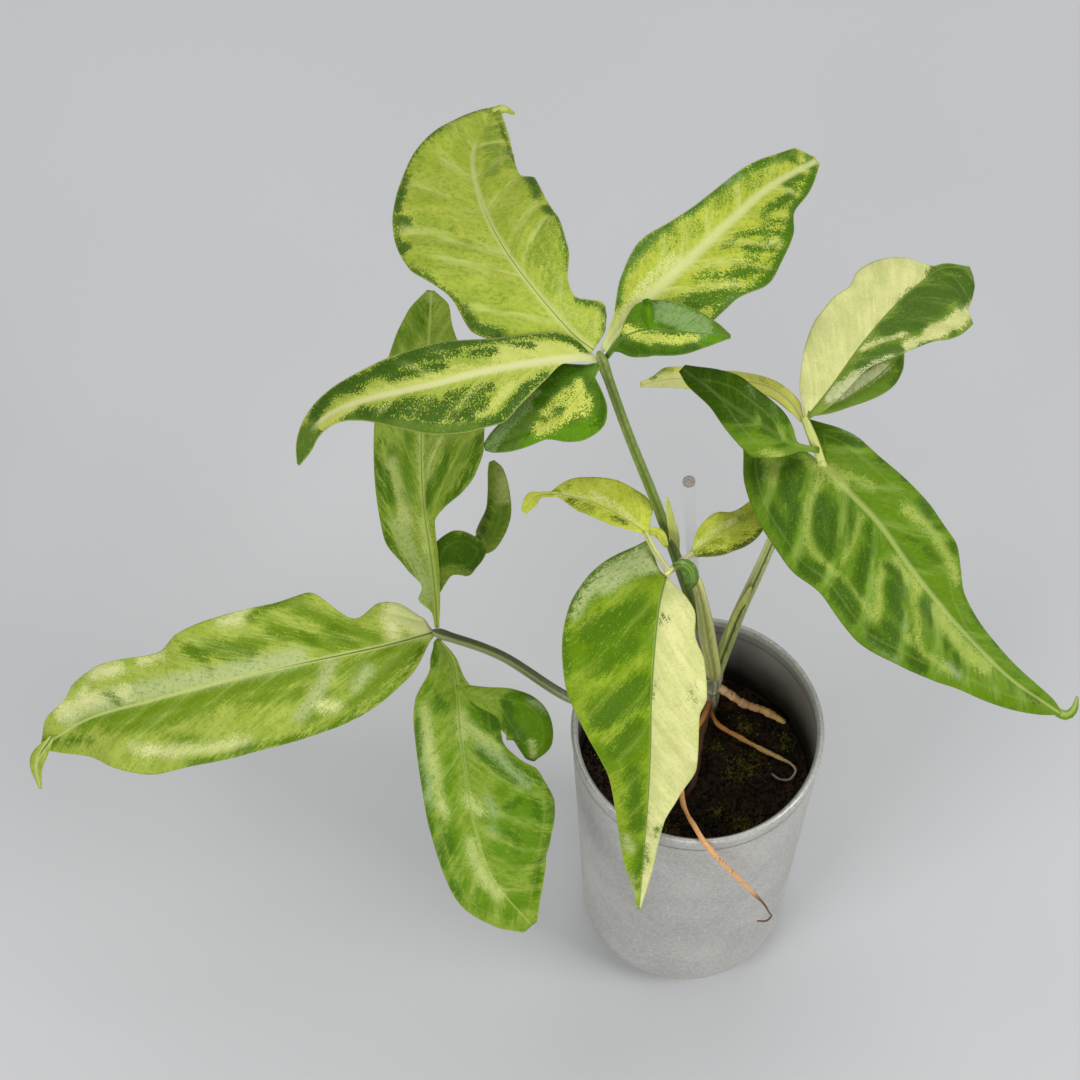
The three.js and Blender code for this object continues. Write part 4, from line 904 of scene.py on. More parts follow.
def leaf_skin(name, ground, second, green, dark, cream, sheen, vein, midrib, groove="4b6a2c", under="8ea05a",
              edge=0.25, specks=2.2, streaks=0.8, fingers=0.5, thread=0.2, halo=0.25, midrib_width=0.9,
              midrib_share=0.85, midrib_end=1.2, groove_width=0.3, groove_end=1.2, rim_pale=0.2,
              inner=(3.5, 0.0), mottle=0.45, roughness=0.42, gloss=0.09):
    """Variegated leaf skin. Cream, green and dark markings are laid over a two-tone ground, with a
    sheen marking that is partly the leaf's own pale grey-green and partly painted sheen and glints,
    where light glances off the glossy blade. Their edges break up into specks, or run softly into
    the ground where edge is large. Lengths along the midrib are shares of the leaflet's length,
    widths are in mm, and inner is a pale line that far inside the margin and how strong it is."""
    material, tree, shader = new_material(name, roughness=roughness, specular=gloss)
    across, phase, gap, rim, seed, along, veined = (
        read(tree, key) for key in ("across", "phase", "gap", "rim", "seed", "along", "veined"))

    def spread(x, y):
        return node(tree, "ShaderNodeCombineXYZ", {"X": x, "Y": y, "Z": seed})[0]

    flat = spread(across, read(tree, "down"))
    off = abs((phase + 100.5).then("FRACT") - 0.5) * gap
    streak = noise(tree, spread(phase * 11.0, across * 0.4), 1.0, 3.0, 0.6)
    bands = noise(tree, spread(phase * 4.0, across * 0.1), 1.0, 2.0, 0.6)
    fine = noise(tree, flat, 2.3, 1.0, 0.6)
    blots = noise(tree, flat, 0.8, 4.0, 0.75)
    clouds = noise(tree, flat, 0.14, 2.0)
    shift = (fine - 0.5) * (specks * EDGE_NOISE) + (streak - 0.5) * (streaks * EDGE_NOISE)
    near_vein = fade(off, 0.2, 2.4, 1.0, 0.0)
    fingered = near_vein * fingers

    def mask(key, ragged, pull=0.0):
        """Where a marking lies. The veins pull its edge back into fingers."""
        field = read(tree, key) + shift * ragged
        if pull:
            field = field - fingered * pull
        return fade(field, -edge, edge)

    # The ground and the markings on it, from the lowest to the uppermost.
    tone = bands * 0.4 + (fine * 0.25 + clouds * 0.35)
    flecks = blots * 0.65 + streak * 0.35
    creamy = mask("cream", 0.8)
    plain = creamy * -0.7 + 1.0
    layers = [
        (mask("green", 1.0, 1.0), blend(tree, fade(fine + streak, 0.95, 1.35, 0.0, 0.45), green, second)),
        # Painted sheen: the sheen marking, partly the leaf's own pale grey-green and partly painted sheen and
        # glints from light glancing off the glossy blade.
        (mask("sheen", 0.7), blend(tree, fade(flecks, 0.44, 0.62, 0.0, 0.3), sheen, second)),
        (creamy, blend(tree, fade(tone, 0.4, 0.62, 0.35, 0.0), cream, ground)),
        (mask("dark", 1.0, 1.4), blend(tree, fade(fine + streak, 0.95, 1.4, 0.0, 0.7), dark, green)),
        (plain * fade(flecks, 0.48, 0.63, 0.0, mottle), blend(tree, 0.5, green, dark)),
        (plain * fade(flecks, 0.46, 0.33, 0.0, mottle * 0.6), vein)]

    # The pale veins and inner line, the midrib with its groove, the margin and the underside.
    inside = fade(rim, 0.8, 4.0) * veined
    patchy = fade(bands, 0.4, 0.6)
    reach = abs(across)
    scaled = reach / (along * -0.6 + 1.0)
    rib = fade(scaled, midrib_width * 0.3, midrib_width * 1.7, midrib_share, 0.0)
    sunk = fade(scaled, groove_width * 0.4, groove_width * 1.4, 0.85, 0.0)
    layers += [
        (near_vein * inside * halo * fade(reach, 0.6, 2.0) * patchy, vein),
        (fade(off, 0.08, 0.4, thread, 0.0) * inside * (patchy + 0.3), vein),
        (fade(abs(rim - inner[0]), 0.1, 0.6, inner[1], 0.0), vein),
        (rib * fade(along, midrib_end - 0.1, midrib_end, 1.0, 0.0) * veined, midrib),
        (sunk * fade(along, groove_end - 0.12, groove_end + 0.12, 1.0, 0.0) * veined, groove),
        (fade(rim, 0.12, 0.5, rim_pale, 0.0), vein),
        (read(tree, "under") * 0.55, under)]
    colour = blend(tree, fade(tone, 0.41, 0.59), second, ground)
    for share, layer in layers:
        colour = blend(tree, share, colour, layer)
    wire(tree, shader["Base Color"], colour)
    wire(tree, shader["Roughness"], fade(clouds, 0.35, 0.65, roughness - 0.06, roughness + 0.1))
    ridge = noise(tree, flat, 5.0, 2.0) * 0.25 + fade(off, 0.0, 0.9, 0.0, 1.0)
    bump(tree, shader, ridge, 0.00012, 0.6)
    return material


def leaflet(name, stands_for, skin, blades, seed):
    """A leaflet of one or more blades, each with the next seed for its waves and specks."""
    shapes = [blade(seed + k, **sizes) for k, sizes in enumerate(blades)]
    add_piece(name, merge(*shapes), skin, stands_for)


# Tallest leaf. It faces up and back and has five leaflets: a broad lime one, one to each side, and
# a small ear under each of those. The sides are cream along the midrib with broken dark margins.
# All five grow from the end of the top stalk.
top_centre = dict(
    midrib=[(-35, 59, 267), (-41.5, 62.5, 271), (-52.5, 75, 275), (-62, 91.5, 274), (-69, 113, 268),
            (-71.5, 138, 259), (-64.5, 164.5, 247)],
    faces=[(0, -0.3, 0.95), (0, -0.35, 0.94)],
    left=[(0, 1.5), (5, 3), (10, 9.5), (18, 21), (21, 23), (29, 21.8), (40, 28.5), (47, 29.2), (60, 25.5),
          (72, 19.5), (80, 13.5), (90, 8.5), (100, 0.6)],
    right=[(0, 9), (2, 13), (7, 13), (10, 10.5), (13, 8), (17, 9.5), (25, 16), (37, 19), (57, 18), (62, 14),
           (80, 12), (100, 0.6)],
    fold=8, droop=0.1, veins=[-4, 13, 31, 40, 61, 79, 96], rise=1.25, bend=0.015, wave=0.7, quilt=0.5,
    green=[(3, -0.2, 82, -100, 74, -95, 69, -93), (2.4, 0.2, 64, 40, 74, 50, 89, 38),
           (2, 0.1, 80, 77, 66, 90), (3, 0, 35, 75, 28, 75, 23, 68, 18, 62), (2.4, 0.1, 30, 38, 26, 40),
           (3, 3, 98, 98, 97, -3), (2.2, -0.2, 46, -75, 42, -50, 39, -20), (2, -0.3, 38, -82, 33, -55),
           (2, -0.2, 52, -70, 47, -40), (1.5, -0.2, 28, -78, 23, -47)],
    cream=[(2.2, -0.4, 1, 18, 9, 32, 14, 48)],
    dark=[(1.9, 3, 17, -85, 20, -90, 22, -93, 26, -93),
          (0.9, 3, 28, -95, 33, -100, 36, -97, 40, -100, 43, -100), (2.2, 3, 46, -100, 46, -93),
          (2.2, 3, 53, -93, 52, -85), (1.4, 0.6, 48, -97, 51, -95),
          (1.7, 1.2, 56, -95, 59, -95, 62, -93, 66, -93),
          (0.8, 3, 68, -100, 72, -100, 77, -97, 81, -100, 88, -100, 93, -100, 96, -88),
          (1.2, 0.4, 77, -97, 81, -95), (0.9, 3, 94, 62, 88, 75, 83, 90, 69, 100),
          (1.8, 1.3, 58, 93, 52, 93, 47, 88), (1.9, 1.3, 42, 93, 39, 95),
          (0.9, 3, 38, 100, 32, 100, 25, 98, 20, 100), (1, 1.5, 12, 93, 7, 90, 1, 98, 1, 93),
          (0.8, 3, 1, 55, 1, 93)])
top_centre_tip = dict(
    midrib=[(-68, 157, 250.5), (-63, 164, 247), (-59, 163.5, 245)],
    faces=[(0, -0.35, 0.94), (0, -0.35, 0.94)],
    left=[(0, 1.5), (50, 1.6), (100, 0.5)],
    right=[(0, 1.5), (50, 1.8), (100, 0.5)],
    fold=0, droop=0)
lime_skin = leaf_skin("lime_leaf", "b0bc48", "9caf38", "7c9530", "3c5c18", "c4cb7c", "7f9c58", "c4cc78",
                      "c6cc7c", groove="6c8430", edge=0.5, specks=1.3, midrib_end=0.85, streaks=0.9,
                      fingers=0.2, halo=0.45, thread=0.2, midrib_width=1.3, midrib_share=0.8,
                      groove_width=0.22, groove_end=0.5)
leaflet("tall_lime_leaflet", "top_leaf_centre", lime_skin, [top_centre, top_centre_tip], 11)

top_right = dict(
    midrib=[(-31.8, 59.8, 267), (-25.5, 66.5, 271), (-16.5, 75.5, 274), (-6, 86.5, 275), (6.5, 101.5, 273),
            (19.5, 118, 268), (35, 134.5, 259)],
    faces=[(0, -0.3, 0.95), (0.1, -0.35, 0.94)],
    left=[(0, 1), (8, 3.5), (13, 7), (18, 10.3), (30, 14.2), (42, 12.4), (53, 10.6), (70, 10), (85, 8),
          (95, 7), (100, 1.5)],
    right=[(0, 1), (15, 3), (22, 12), (27, 18.5), (36, 18.5), (48, 22), (60, 19), (68, 16), (77, 10.8),
           (88, 8), (100, 1.5)],
    fold=6, droop=0.1, veins=[-6, 8, 23, 34, 45, 62, 78], rise=1.5, bend=0.02, wave=0.7, soft=1.2,
    green=[(2.2, 2, 12, -90, 16, -100, 23, -95, 32, -88, 40, -93),
           (2, 1.5, 45, -97, 53, -93, 64, -95, 73, -85), (2.2, 1.2, 77, -82, 85, -80, 94, -80),
           (2.6, 2, 97, -30, 96, 60), (3, -0.05, 56, -78, 64, -72, 71, -60, 79, -43),
           (2.4, -0.1, 38, 40, 34, 38), (1.8, 0.3, 28, 48, 24, 48), (2, 0.1, 21, 52, 25, 68),
           (2.2, -0.2, 33, -65, 40, -57, 47, -47)],
    sheen=[(1, 1.5, 23, -97, 28, -93, 34, -93), (1.2, 0.8, 64, -95, 71, -90), (1.2, 1, 97, 2, 95, 95)],
    cream=[(1.2, 3, 47, 68, 48, 75), (0.9, 1.5, 56, 68, 60, 68), (2.4, 0.1, 10, -18, 23, -20, 33, -18)],
    dark=[(2.6, 3, 31, 100, 40, 100, 47, 98, 57, 98, 65, 98, 72, 95, 81, 100, 90, 95, 95, 60),
          (0.8, 3, 11, -85, 14, -97, 17, -97), (0.9, 1.5, 18, -97, 25, -95, 32, -90, 39, -95),
          (0.9, 3, 41, -95, 47, -95, 53, -97, 59, -100, 64, -100),
          (1, 1.5, 69, -95, 75, -88, 83, -88, 92, -95), (2.6, 1, 27, 55, 30, 65, 35, 80, 39, 85),
          (2, 0.8, 40, 65, 46, 68, 52, 82), (1.4, 0.8, 45, 50, 51, 65), (2, 0.3, 33, 43, 38, 57),
          (1.3, 1, 47, 20, 53, 25, 58, 40, 64, 73), (2, 0.8, 52, 45, 55, 57, 59, 65),
          (1.3, 0.2, 63, 45, 70, 77), (1.8, 1.8, 58, 75, 64, 88, 69, 93),
          (1.8, 1.2, 66, 30, 73, 48, 84, 57), (1.8, 0.8, 81, 27, 90, 25), (1.4, 0.8, 90, -55, 94, -7),
          (1.6, 1.2, 27, 100, 30, 100)])
gold_skin = leaf_skin("gold_leaf", "bcc548", "a8b63a", "66862c", "446c10", "cfd58c", "76935a", "d0d584",
                      "d0d48c", groove="b9c26a", edge=0.2, specks=2.2, streaks=0.9, fingers=0.6, halo=0.3,
                      thread=0.15, midrib_width=2.1, midrib_share=0.85, groove_end=-1)
leaflet("tall_gold_leaflet", "top_leaf_right", gold_skin, [top_right], 21)
ear_skin = leaf_skin("ear_leaf", "5c7c20", "4c6c18", "5c8a0a", "345608", "d0d660", "7f9c5c", "7f9e44",
                     "8aa44c", specks=1.9, streaks=0.7, fingers=0.3, halo=0.1, thread=0.1, midrib_width=0.5,
                     midrib_share=0.5, rim_pale=0.6)
top_right_ear = dict(
    midrib=[(-31.4, 58.2, 263.9), (-26.5, 60.4, 271.2), (-19.5, 61.8, 273.8), (-11.5, 61, 274),
            (-3, 61.3, 272.4), (5.5, 61.5, 270.5)],
    faces=[(0, -0.3, 0.95), (0.1, -0.35, 0.94)],
    left=[(0, 0.8), (20, 1.2), (28, 4.5), (37, 8.5), (45, 9), (55, 8.7), (70, 7.5), (90, 3.8), (100, 0.6)],
    right=[(0, 0.8), (10, 1), (14, 4.5), (20, 6.5), (40, 8.7), (63, 7.2), (82, 4.2), (100, 0.6)],
    fold=8, droop=0.1,
    green=[(2.6, 3, 38, -90, 40, -40, 43, -5), (2.2, 2, 78, 18, 91, 60)],
    sheen=[(3.4, 3, 49, -60, 63, -50, 78, -30), (1.4, 1, 29, 98, 52, 100)],
    cream=[(1.6, 3, 26, -47, 34, 25, 54, 38, 73, 38), (1.4, 2, 29, 2, 42, 48)],
    dark=[(2, 3, 23, 62, 42, 88, 57, 93, 74, 88), (1.2, 1, 51, -10, 56, -5), (1, 1.5, 20, -47, 19, 45)])
top_right_flap = dict(
    midrib=[(-18.4, 61.3, 273.7), (-19, 63.4, 278), (-19.3, 66, 280.5), (-19.3, 67.8, 281.2)],
    faces=[(0, -0.78, 0.62), (0, -0.78, 0.62)],
    left=[(0, 4.2), (40, 2.8), (100, 2.2)],
    right=[(0, 4.2), (40, 2.8), (100, 2.2)],
    fold=-50, droop=0.1, veined=0, wave=0, quilt=0.1, uneven=0,
    green=[(6, 3, 1, -22, 81, 10)],
    # Painted shade: the dark band across the flap's end is the shade in the mouth of the folded flap.
    dark=[(1, 3, 97, -88, 83, 100)])
leaflet("tall_right_ear", "top_leaf_right_ear", ear_skin, [top_right_ear, top_right_flap], 31)

top_left = dict(
    midrib=[(-35.2, 56.6, 266.3), (-42, 54, 270), (-54, 51, 272), (-68.5, 48.5, 271), (-83, 46, 268),
            (-98, 46, 262), (-110.5, 46.5, 254), (-119.5, 46, 243), (-124.5, 43, 228)],
    faces=[(-0.05, -0.35, 0.93), (-0.25, -0.4, 0.88)],
    left=[(0, 1), (9, 1.2), (15, 5.5), (22, 11), (29, 16.3), (36, 16.6), (45, 15), (56, 10.5), (67, 5.5),
          (76, 3.4), (90, 3), (100, 0.6)],
    right=[(0, 1), (5, 6.5), (10, 8.5), (27, 9.5), (42, 12.2), (56, 11), (74, 6.8), (87, 4.4), (95, 2.6),
           (100, 0.6)],
    fold=6, droop=0.15, veins=[-10, 4, 17, 31, 45, 59, 75, 92], rise=1.7, bend=0.02, wave=0.6, soft=1,
    green=[(2.6, 3, 29, -100, 35, -97, 44, -93, 53, -90, 59, -85, 67, -80, 72, -82),
           (3.6, 3, 97, 15, 93, 12, 88, 10), (2.2, 3, 81, -100, 90, -75), (2.4, 2, 86, 12, 82, 35)],
    cream=[(2.6, 1.2, 6, 30, 12, 38, 20, 45, 26, 43),
           (1.7, 1.4, 1, 5, 15, 0, 32, 2, 48, 7, 62, 5, 73, -20, 81, -38),
           (1.2, 1.4, 24, -40, 29, -60, 33, -72, 40, -75), (1.5, 0.3, 34, 18, 45, 18)],
    dark=[(1.3, 3, 1, 68, 5, 68, 10, 85, 17, 100, 23, 100), (1.7, 3, 23, 98, 30, 95, 36, 90),
          (2, 1.4, 36, 88, 43, 90, 51, 93), (2.7, 3, 47, 82, 53, 77, 58, 70),
          (2.2, 3, 58, 68, 67, 75, 73, 80, 78, 65, 82, 43), (1.6, 1, 36, 65, 44, 68),
          (1.6, 1, 41, 40, 49, 45, 56, 45), (1.2, 0.6, 33, 55, 27, 57), (1, 0.6, 22, 70, 17, 57),
          (1.3, 1.4, 65, 43, 71, 62), (1.7, 1.1, 20, -70, 24, -80, 27, -88),
          (2.5, 0.7, 33, -55, 39, -50, 45, -47), (2.3, 0.8, 45, -40, 52, -38, 58, -47),
          (1.6, 0.5, 30, -32, 35, -32, 41, -32), (1.8, 1, 37, -70, 45, -65, 52, -60),
          (1.6, 1.5, 55, -57, 60, -62, 66, -55), (1.5, 1, 29, -90, 34, -90), (1.2, 0.6, 15, -75, 20, -80)])
cream_skin = leaf_skin("cream_leaf", "adb94c", "97a83c", "54741c", "3a5a14", "c3c968", "7f9c58", "c9d07c",
                       "d0d294", groove="d2d49a", edge=0.2, specks=2.5, streaks=0.8, fingers=0.3, halo=0.12,
                       thread=0.1, midrib_width=1.25, midrib_share=0.95, groove_end=-1, rim_pale=0.4,
                       midrib_end=0.88, mottle=0.25)
leaflet("tall_cream_leaflet", "top_leaf_left", cream_skin, [top_left], 41)
top_left_ear = dict(
    midrib=[(-33.6, 55.3, 264.5), (-36.5, 50.5, 263), (-41.5, 44.5, 261), (-48, 40.5, 258),
            (-55.5, 38, 254), (-67.5, 37.5, 247)],
    faces=[(0, -0.3, 0.95), (-0.1, -0.35, 0.94)],
    left=[(0, 0.8), (8, 1), (12, 4), (16, 7), (20, 9.2), (30, 12), (38, 11.3), (47, 8.8), (60, 4.2),
          (80, 3.8), (95, 2.4), (100, 1)],
    right=[(0, 0.8), (4, 4), (8, 7.5), (14, 10.5), (35, 11.5), (60, 10.5), (86, 6), (95, 3.5), (100, 1.2)],
    fold=6, droop=0.2, veined=0.2,
    green=[(3.2, 3, 30, -80, 41, -75, 52, -75, 68, -75)],
    sheen=[(2, 0.5, 47, 73, 67, 68, 84, 55, 94, -3)],
    cream=[(1.9, 3, 18, 20, 25, -7, 36, -15, 48, -18, 59, -20), (1.2, 0.8, 23, -30, 30, -45),
           (2.4, 0.4, 30, 27, 47, 23)],
    dark=[(3.2, 3, 10, 68, 23, 73), (2.4, 1.5, 30, 65, 49, 55), (2, 2.5, 12, -80, 20, -88, 29, -85),
          (1.2, 0.8, 10, 23, 14, -28), (1, 0.5, 40, 5, 52, 5)])
leaflet("tall_left_ear", "top_leaf_left_ear", ear_skin, [top_left_ear], 51)


# Left leaf. Three long marbled leaflets in several greens, pale along the side veins. The back one
# carries a dark glossy lobe and an ear, and the front one a rolled ear. They meet on the end of
# the left stalk.
marbled_skin = leaf_skin("marbled_leaf", "aab84c", "92a63a", "688614", "4a6c0a", "dadc9a", "b2be80",
                         "aabb5c", "bcc678", groove="3f5c1e", edge=0.8, specks=1.0, streaks=1.2,
                         fingers=0.3, halo=0.2, thread=0.12, midrib_width=0.8, midrib_share=0.8,
                         groove_end=0.35, inner=(3.4, 0.1), rim_pale=0.1)
left_centre = dict(
    midrib=[(-85.4, 17.6, 167.2), (-98, 11.5, 171), (-113.5, 6.5, 173), (-132.5, 2.5, 172), (-153, -1, 168),
            (-174, -3.5, 161), (-194, -4.5, 151), (-211, -8.5, 138)],
    faces=[(0, -0.25, 0.95), (0, -0.35, 0.9)],
    left=[(0, 1.5), (10, 13), (22, 21), (28, 23), (45, 24.5), (68, 23.5), (82, 16.5), (92, 8), (100, 0.6)],
    right=[(0, 6), (5, 12), (10, 14), (17, 10.5), (27, 22), (36, 20.5), (45, 21), (58, 18.5), (64, 14.5),
           (78, 15.5), (85, 12.5), (88, 9), (95, 7), (100, 0.6)],
    fold=7, droop=0.08, veins=[-8, 4, 18, 32, 47, 62, 77, 92, 108, 124], rise=2.2, bend=0.02, wave=1,
    wave_length=24, quilt=0.6, soft=2.6,
    green=[(3.2, 2, 29, -15, 41, -15, 52, -15, 65, -15, 76, -12, 86, -5),
           (2.4, 1, 53, -25, 58, -30, 69, -30, 79, -30), (3.4, 2.5, 6, -40, 11, -45, 16, -55, 21, -62),
           (2.6, 1.5, 11, -12, 17, -18, 23, -28), (2.4, 1.4, 25, 38, 21, 27, 18, 23),
           (3, 1.3, 29, 80, 24, 62, 19, 57, 14, 18), (2.5, 1.2, 36, 65, 30, 35, 24, 15),
           (2.2, 1, 40, 90, 34, 100, 29, 95), (2.4, 1.2, 55, 62, 47, 48, 39, 45), (2, 1, 27, -47, 31, -62),
           (2.6, 1.2, 17, -72, 25, -75, 32, -78), (2.4, 0.9, 47, -32, 40, -35, 33, -38),
           (1.8, 0.7, 57, -70, 65, -53)],
    sheen=[(3, 0.8, 32, 10, 41, 10, 50, 12, 60, 18, 70, 23, 81, 23),
           (1.8, 1, 25, -7, 27, -30, 30, -53, 34, -70), (1.2, 0.5, 17, -35, 21, -57),
           (2.4, 1, 82, 25, 89, 35)],
    cream=[(4.2, 3, 7, 70, 4, 60, 2, 38), (2.8, 3, 9, 60, 9, 30), (2, 1.6, 80, 88, 74, 82),
           (1.6, 1.4, 83, 65, 84, 50), (2, 0.6, 90, 73, 82, 38, 73, 32), (1.5, 1.5, 45, 98, 41, 100),
           (1.6, 1.4, 47, 90, 43, 88), (1.5, 2, 47, -85, 57, -82, 67, -72, 73, -62),
           (1.8, 1.3, 29, -65, 26, -72), (1.4, 1, 63, 90, 68, 90)],
    dark=[(1.4, 3, 4, -68, 8, -82, 12, -88, 15, -90),
          (1.5, 3, 15, -93, 21, -95, 27, -100, 35, -97, 45, -95, 53, -95), (1.2, 1.5, 53, -97, 61, -95),
          (1.5, 1.8, 23, 48, 20, 38), (1.3, 1.5, 30, 45, 28, 30), (1.2, 1.2, 37, 52, 34, 40),
          (1.9, 1.8, 56, 70, 54, 55, 50, 55), (1.6, 1.8, 48, 43, 42, 30), (1.3, 1.6, 53, 38, 52, 25),
          (1.6, 1.6, 98, 15, 94, -30, 86, -50), (1.2, 1, 34, 100, 40, 90), (1.2, 0.9, 78, 40, 76, 15)])
left_centre_tip = dict(
    midrib=[(-207.5, -7.5, 142), (-212.5, -12, 134.5), (-212, -17.5, 126.5)],
    faces=[(0, -0.35, 0.94), (-0.3, -0.9, 0.2)],
    left=[(0, 1), (40, 2.5), (100, 0.5)],
    right=[(0, 1), (40, 2.5), (100, 0.5)],
    fold=0, droop=0)
leaflet("marbled_long_leaflet", "left_leaf_centre", marbled_skin, [left_centre,
        left_centre_tip], 61)
back_skin = leaf_skin("streaked_leaf", "8ea23c", "788f2c", "587a16", "3c5f08", "b8c270", "9cab64", "9cae4c",
                      "a8b85c", groove="6c8434", edge=0.8, specks=1.0, streaks=1.5, fingers=0.4, halo=0.25,
                      thread=0.15, midrib_width=0.9, midrib_share=0.7, groove_end=0.8, inner=(3.4, 0.1),
                      rim_pale=0.25, roughness=0.38)
left_back = dict(
    midrib=[(-83.6, 20.2, 168), (-84, 27.5, 171), (-85.5, 40, 175), (-88, 56, 179), (-89, 71, 182),
            (-89, 88.5, 184), (-87.5, 114, 184), (-87, 140, 180)],
    faces=[(0, -0.3, 0.95), (0, -0.35, 0.94)],
    left=[(0, 0.8), (3, 1.5), (7, 5.5), (10, 4), (15, 8), (25, 14), (50, 15.5), (62, 15), (82, 11),
          (92, 7.5), (100, 1.5)],
    right=[(0, 0.8), (15, 2.2), (27, 3), (31, 7), (35, 13), (40, 17.5), (48, 20.5), (55, 20.5), (62, 18.5),
           (75, 13), (87, 7.5), (95, 6), (100, 1)],
    fold=8, droop=0.1, veins=[-10, 10, 30, 46, 60, 75, 90, 106], rise=2.4, bend=0.02, wave=0.8, soft=2.2,
    green=[(3, 0.6, 94, -32, 89, -38, 81, -55), (3, 0.5, 83, -90, 78, -90),
           (2.2, 1.2, 51, -28, 42, -35, 34, -32), (2, 1.2, 47, -60, 42, -75, 34, -72),
           (2, 0.8, 47, 45, 41, 43), (2.4, 0.7, 41, 32, 36, 23, 32, 25), (1.8, 0.6, 47, 5, 39, 5),
           (2, 0.5, 50, 77, 44, 65)],
    sheen=[(2.6, 1.2, 28, -57, 20, -57, 14, -62, 8, -50), (1.5, 1.4, 44, -62, 39, -55, 34, -45, 28, -38),
           (1.2, 0.6, 17, -12, 9, -20), (1, 0.6, 96, 7, 99, -25)],
    cream=[(0.8, 1, 43, -68, 38, -60, 33, -50, 28, -45), (0.8, 0.6, 51, 0, 42, 0, 34, 0),
           (0.8, 0.4, 50, 30, 45, 18, 39, 12), (1.2, 0.5, 28, -7, 20, -5)],
    dark=[(1.4, 2, 52, 93, 44, 90, 37, 85, 32, 95), (1.2, 3, 50, -90, 40, -90, 29, -90, 23, -95),
          (1, 3, 21, -97, 17, -100, 14, -100), (1.5, 0.9, 41, -72, 34, -70), (1.4, 0.9, 44, 43, 37, 38),
          (1.1, 1, 38, 18, 32, 12), (1, 0.9, 36, -43, 34, -32), (1.2, 0.8, 93, -30, 88, -28)])
left_back_lobe = dict(
    midrib=[(-84, 29.5, 171.6), (-79.5, 41, 170), (-74.5, 46.5, 167.5), (-68.5, 50.5, 164)],
    faces=[(0, -0.5, 0.86), (0.2, -0.5, 0.84)],
    left=[(0, 1), (25, 4), (42, 8), (65, 8.5), (88, 5), (100, 1.5)],
    right=[(0, 1), (30, 2), (45, 5), (70, 7), (90, 4.5), (100, 1.5)],
    fold=4, droop=0.2, veined=0,
    green=[(1.4, 3, 79, -57, 94, 10)],
    dark=[(6, 3, 52, -55, 64, -15, 79, 18)])
left_back_ear = dict(
    midrib=[(-71.5, 48.5, 165), (-67, 54, 161.5), (-64, 65.5, 158), (-64, 75, 156.5), (-65, 83, 155.5),
            (-67, 89.5, 154)],
    faces=[(0.1, -0.5, 0.85), (0, -0.5, 0.85)],
    left=[(0, 1), (8, 5), (30, 6), (60, 4.5), (90, 3), (100, 1)],
    right=[(0, 1), (15, 2.5), (50, 3.5), (90, 2.5), (100, 1)],
    fold=4, droop=0.2, veined=0.15,
    green=[(2.4, 1.2, 18, -20, 42, 5, 61, 32)],
    sheen=[(1.6, 1, 89, 55, 61, -5)],
    cream=[(1.4, 0.3, 80, 52, 61, 43)],
    dark=[(1.4, 0.9, 8, -75, 36, -68, 58, -90)])
leaflet("marbled_back_leaflet", "left_leaf_back", back_skin, [left_back, left_back_lobe,
        left_back_ear], 71)
front_marbled_skin = leaf_skin("front_marbled_leaf", "88a038", "708e20", "5a8208", "3c620c", "b8c476",
                               "92a86c", "a6b658", "b0be66", groove="4a6c22", edge=0.8, specks=1.0,
                               streaks=1.2, fingers=0.5, halo=0.35, thread=0.2, midrib_width=0.7,
                               midrib_share=0.75, groove_end=0.6, inner=(3.4, 0.12), rim_pale=0.25)
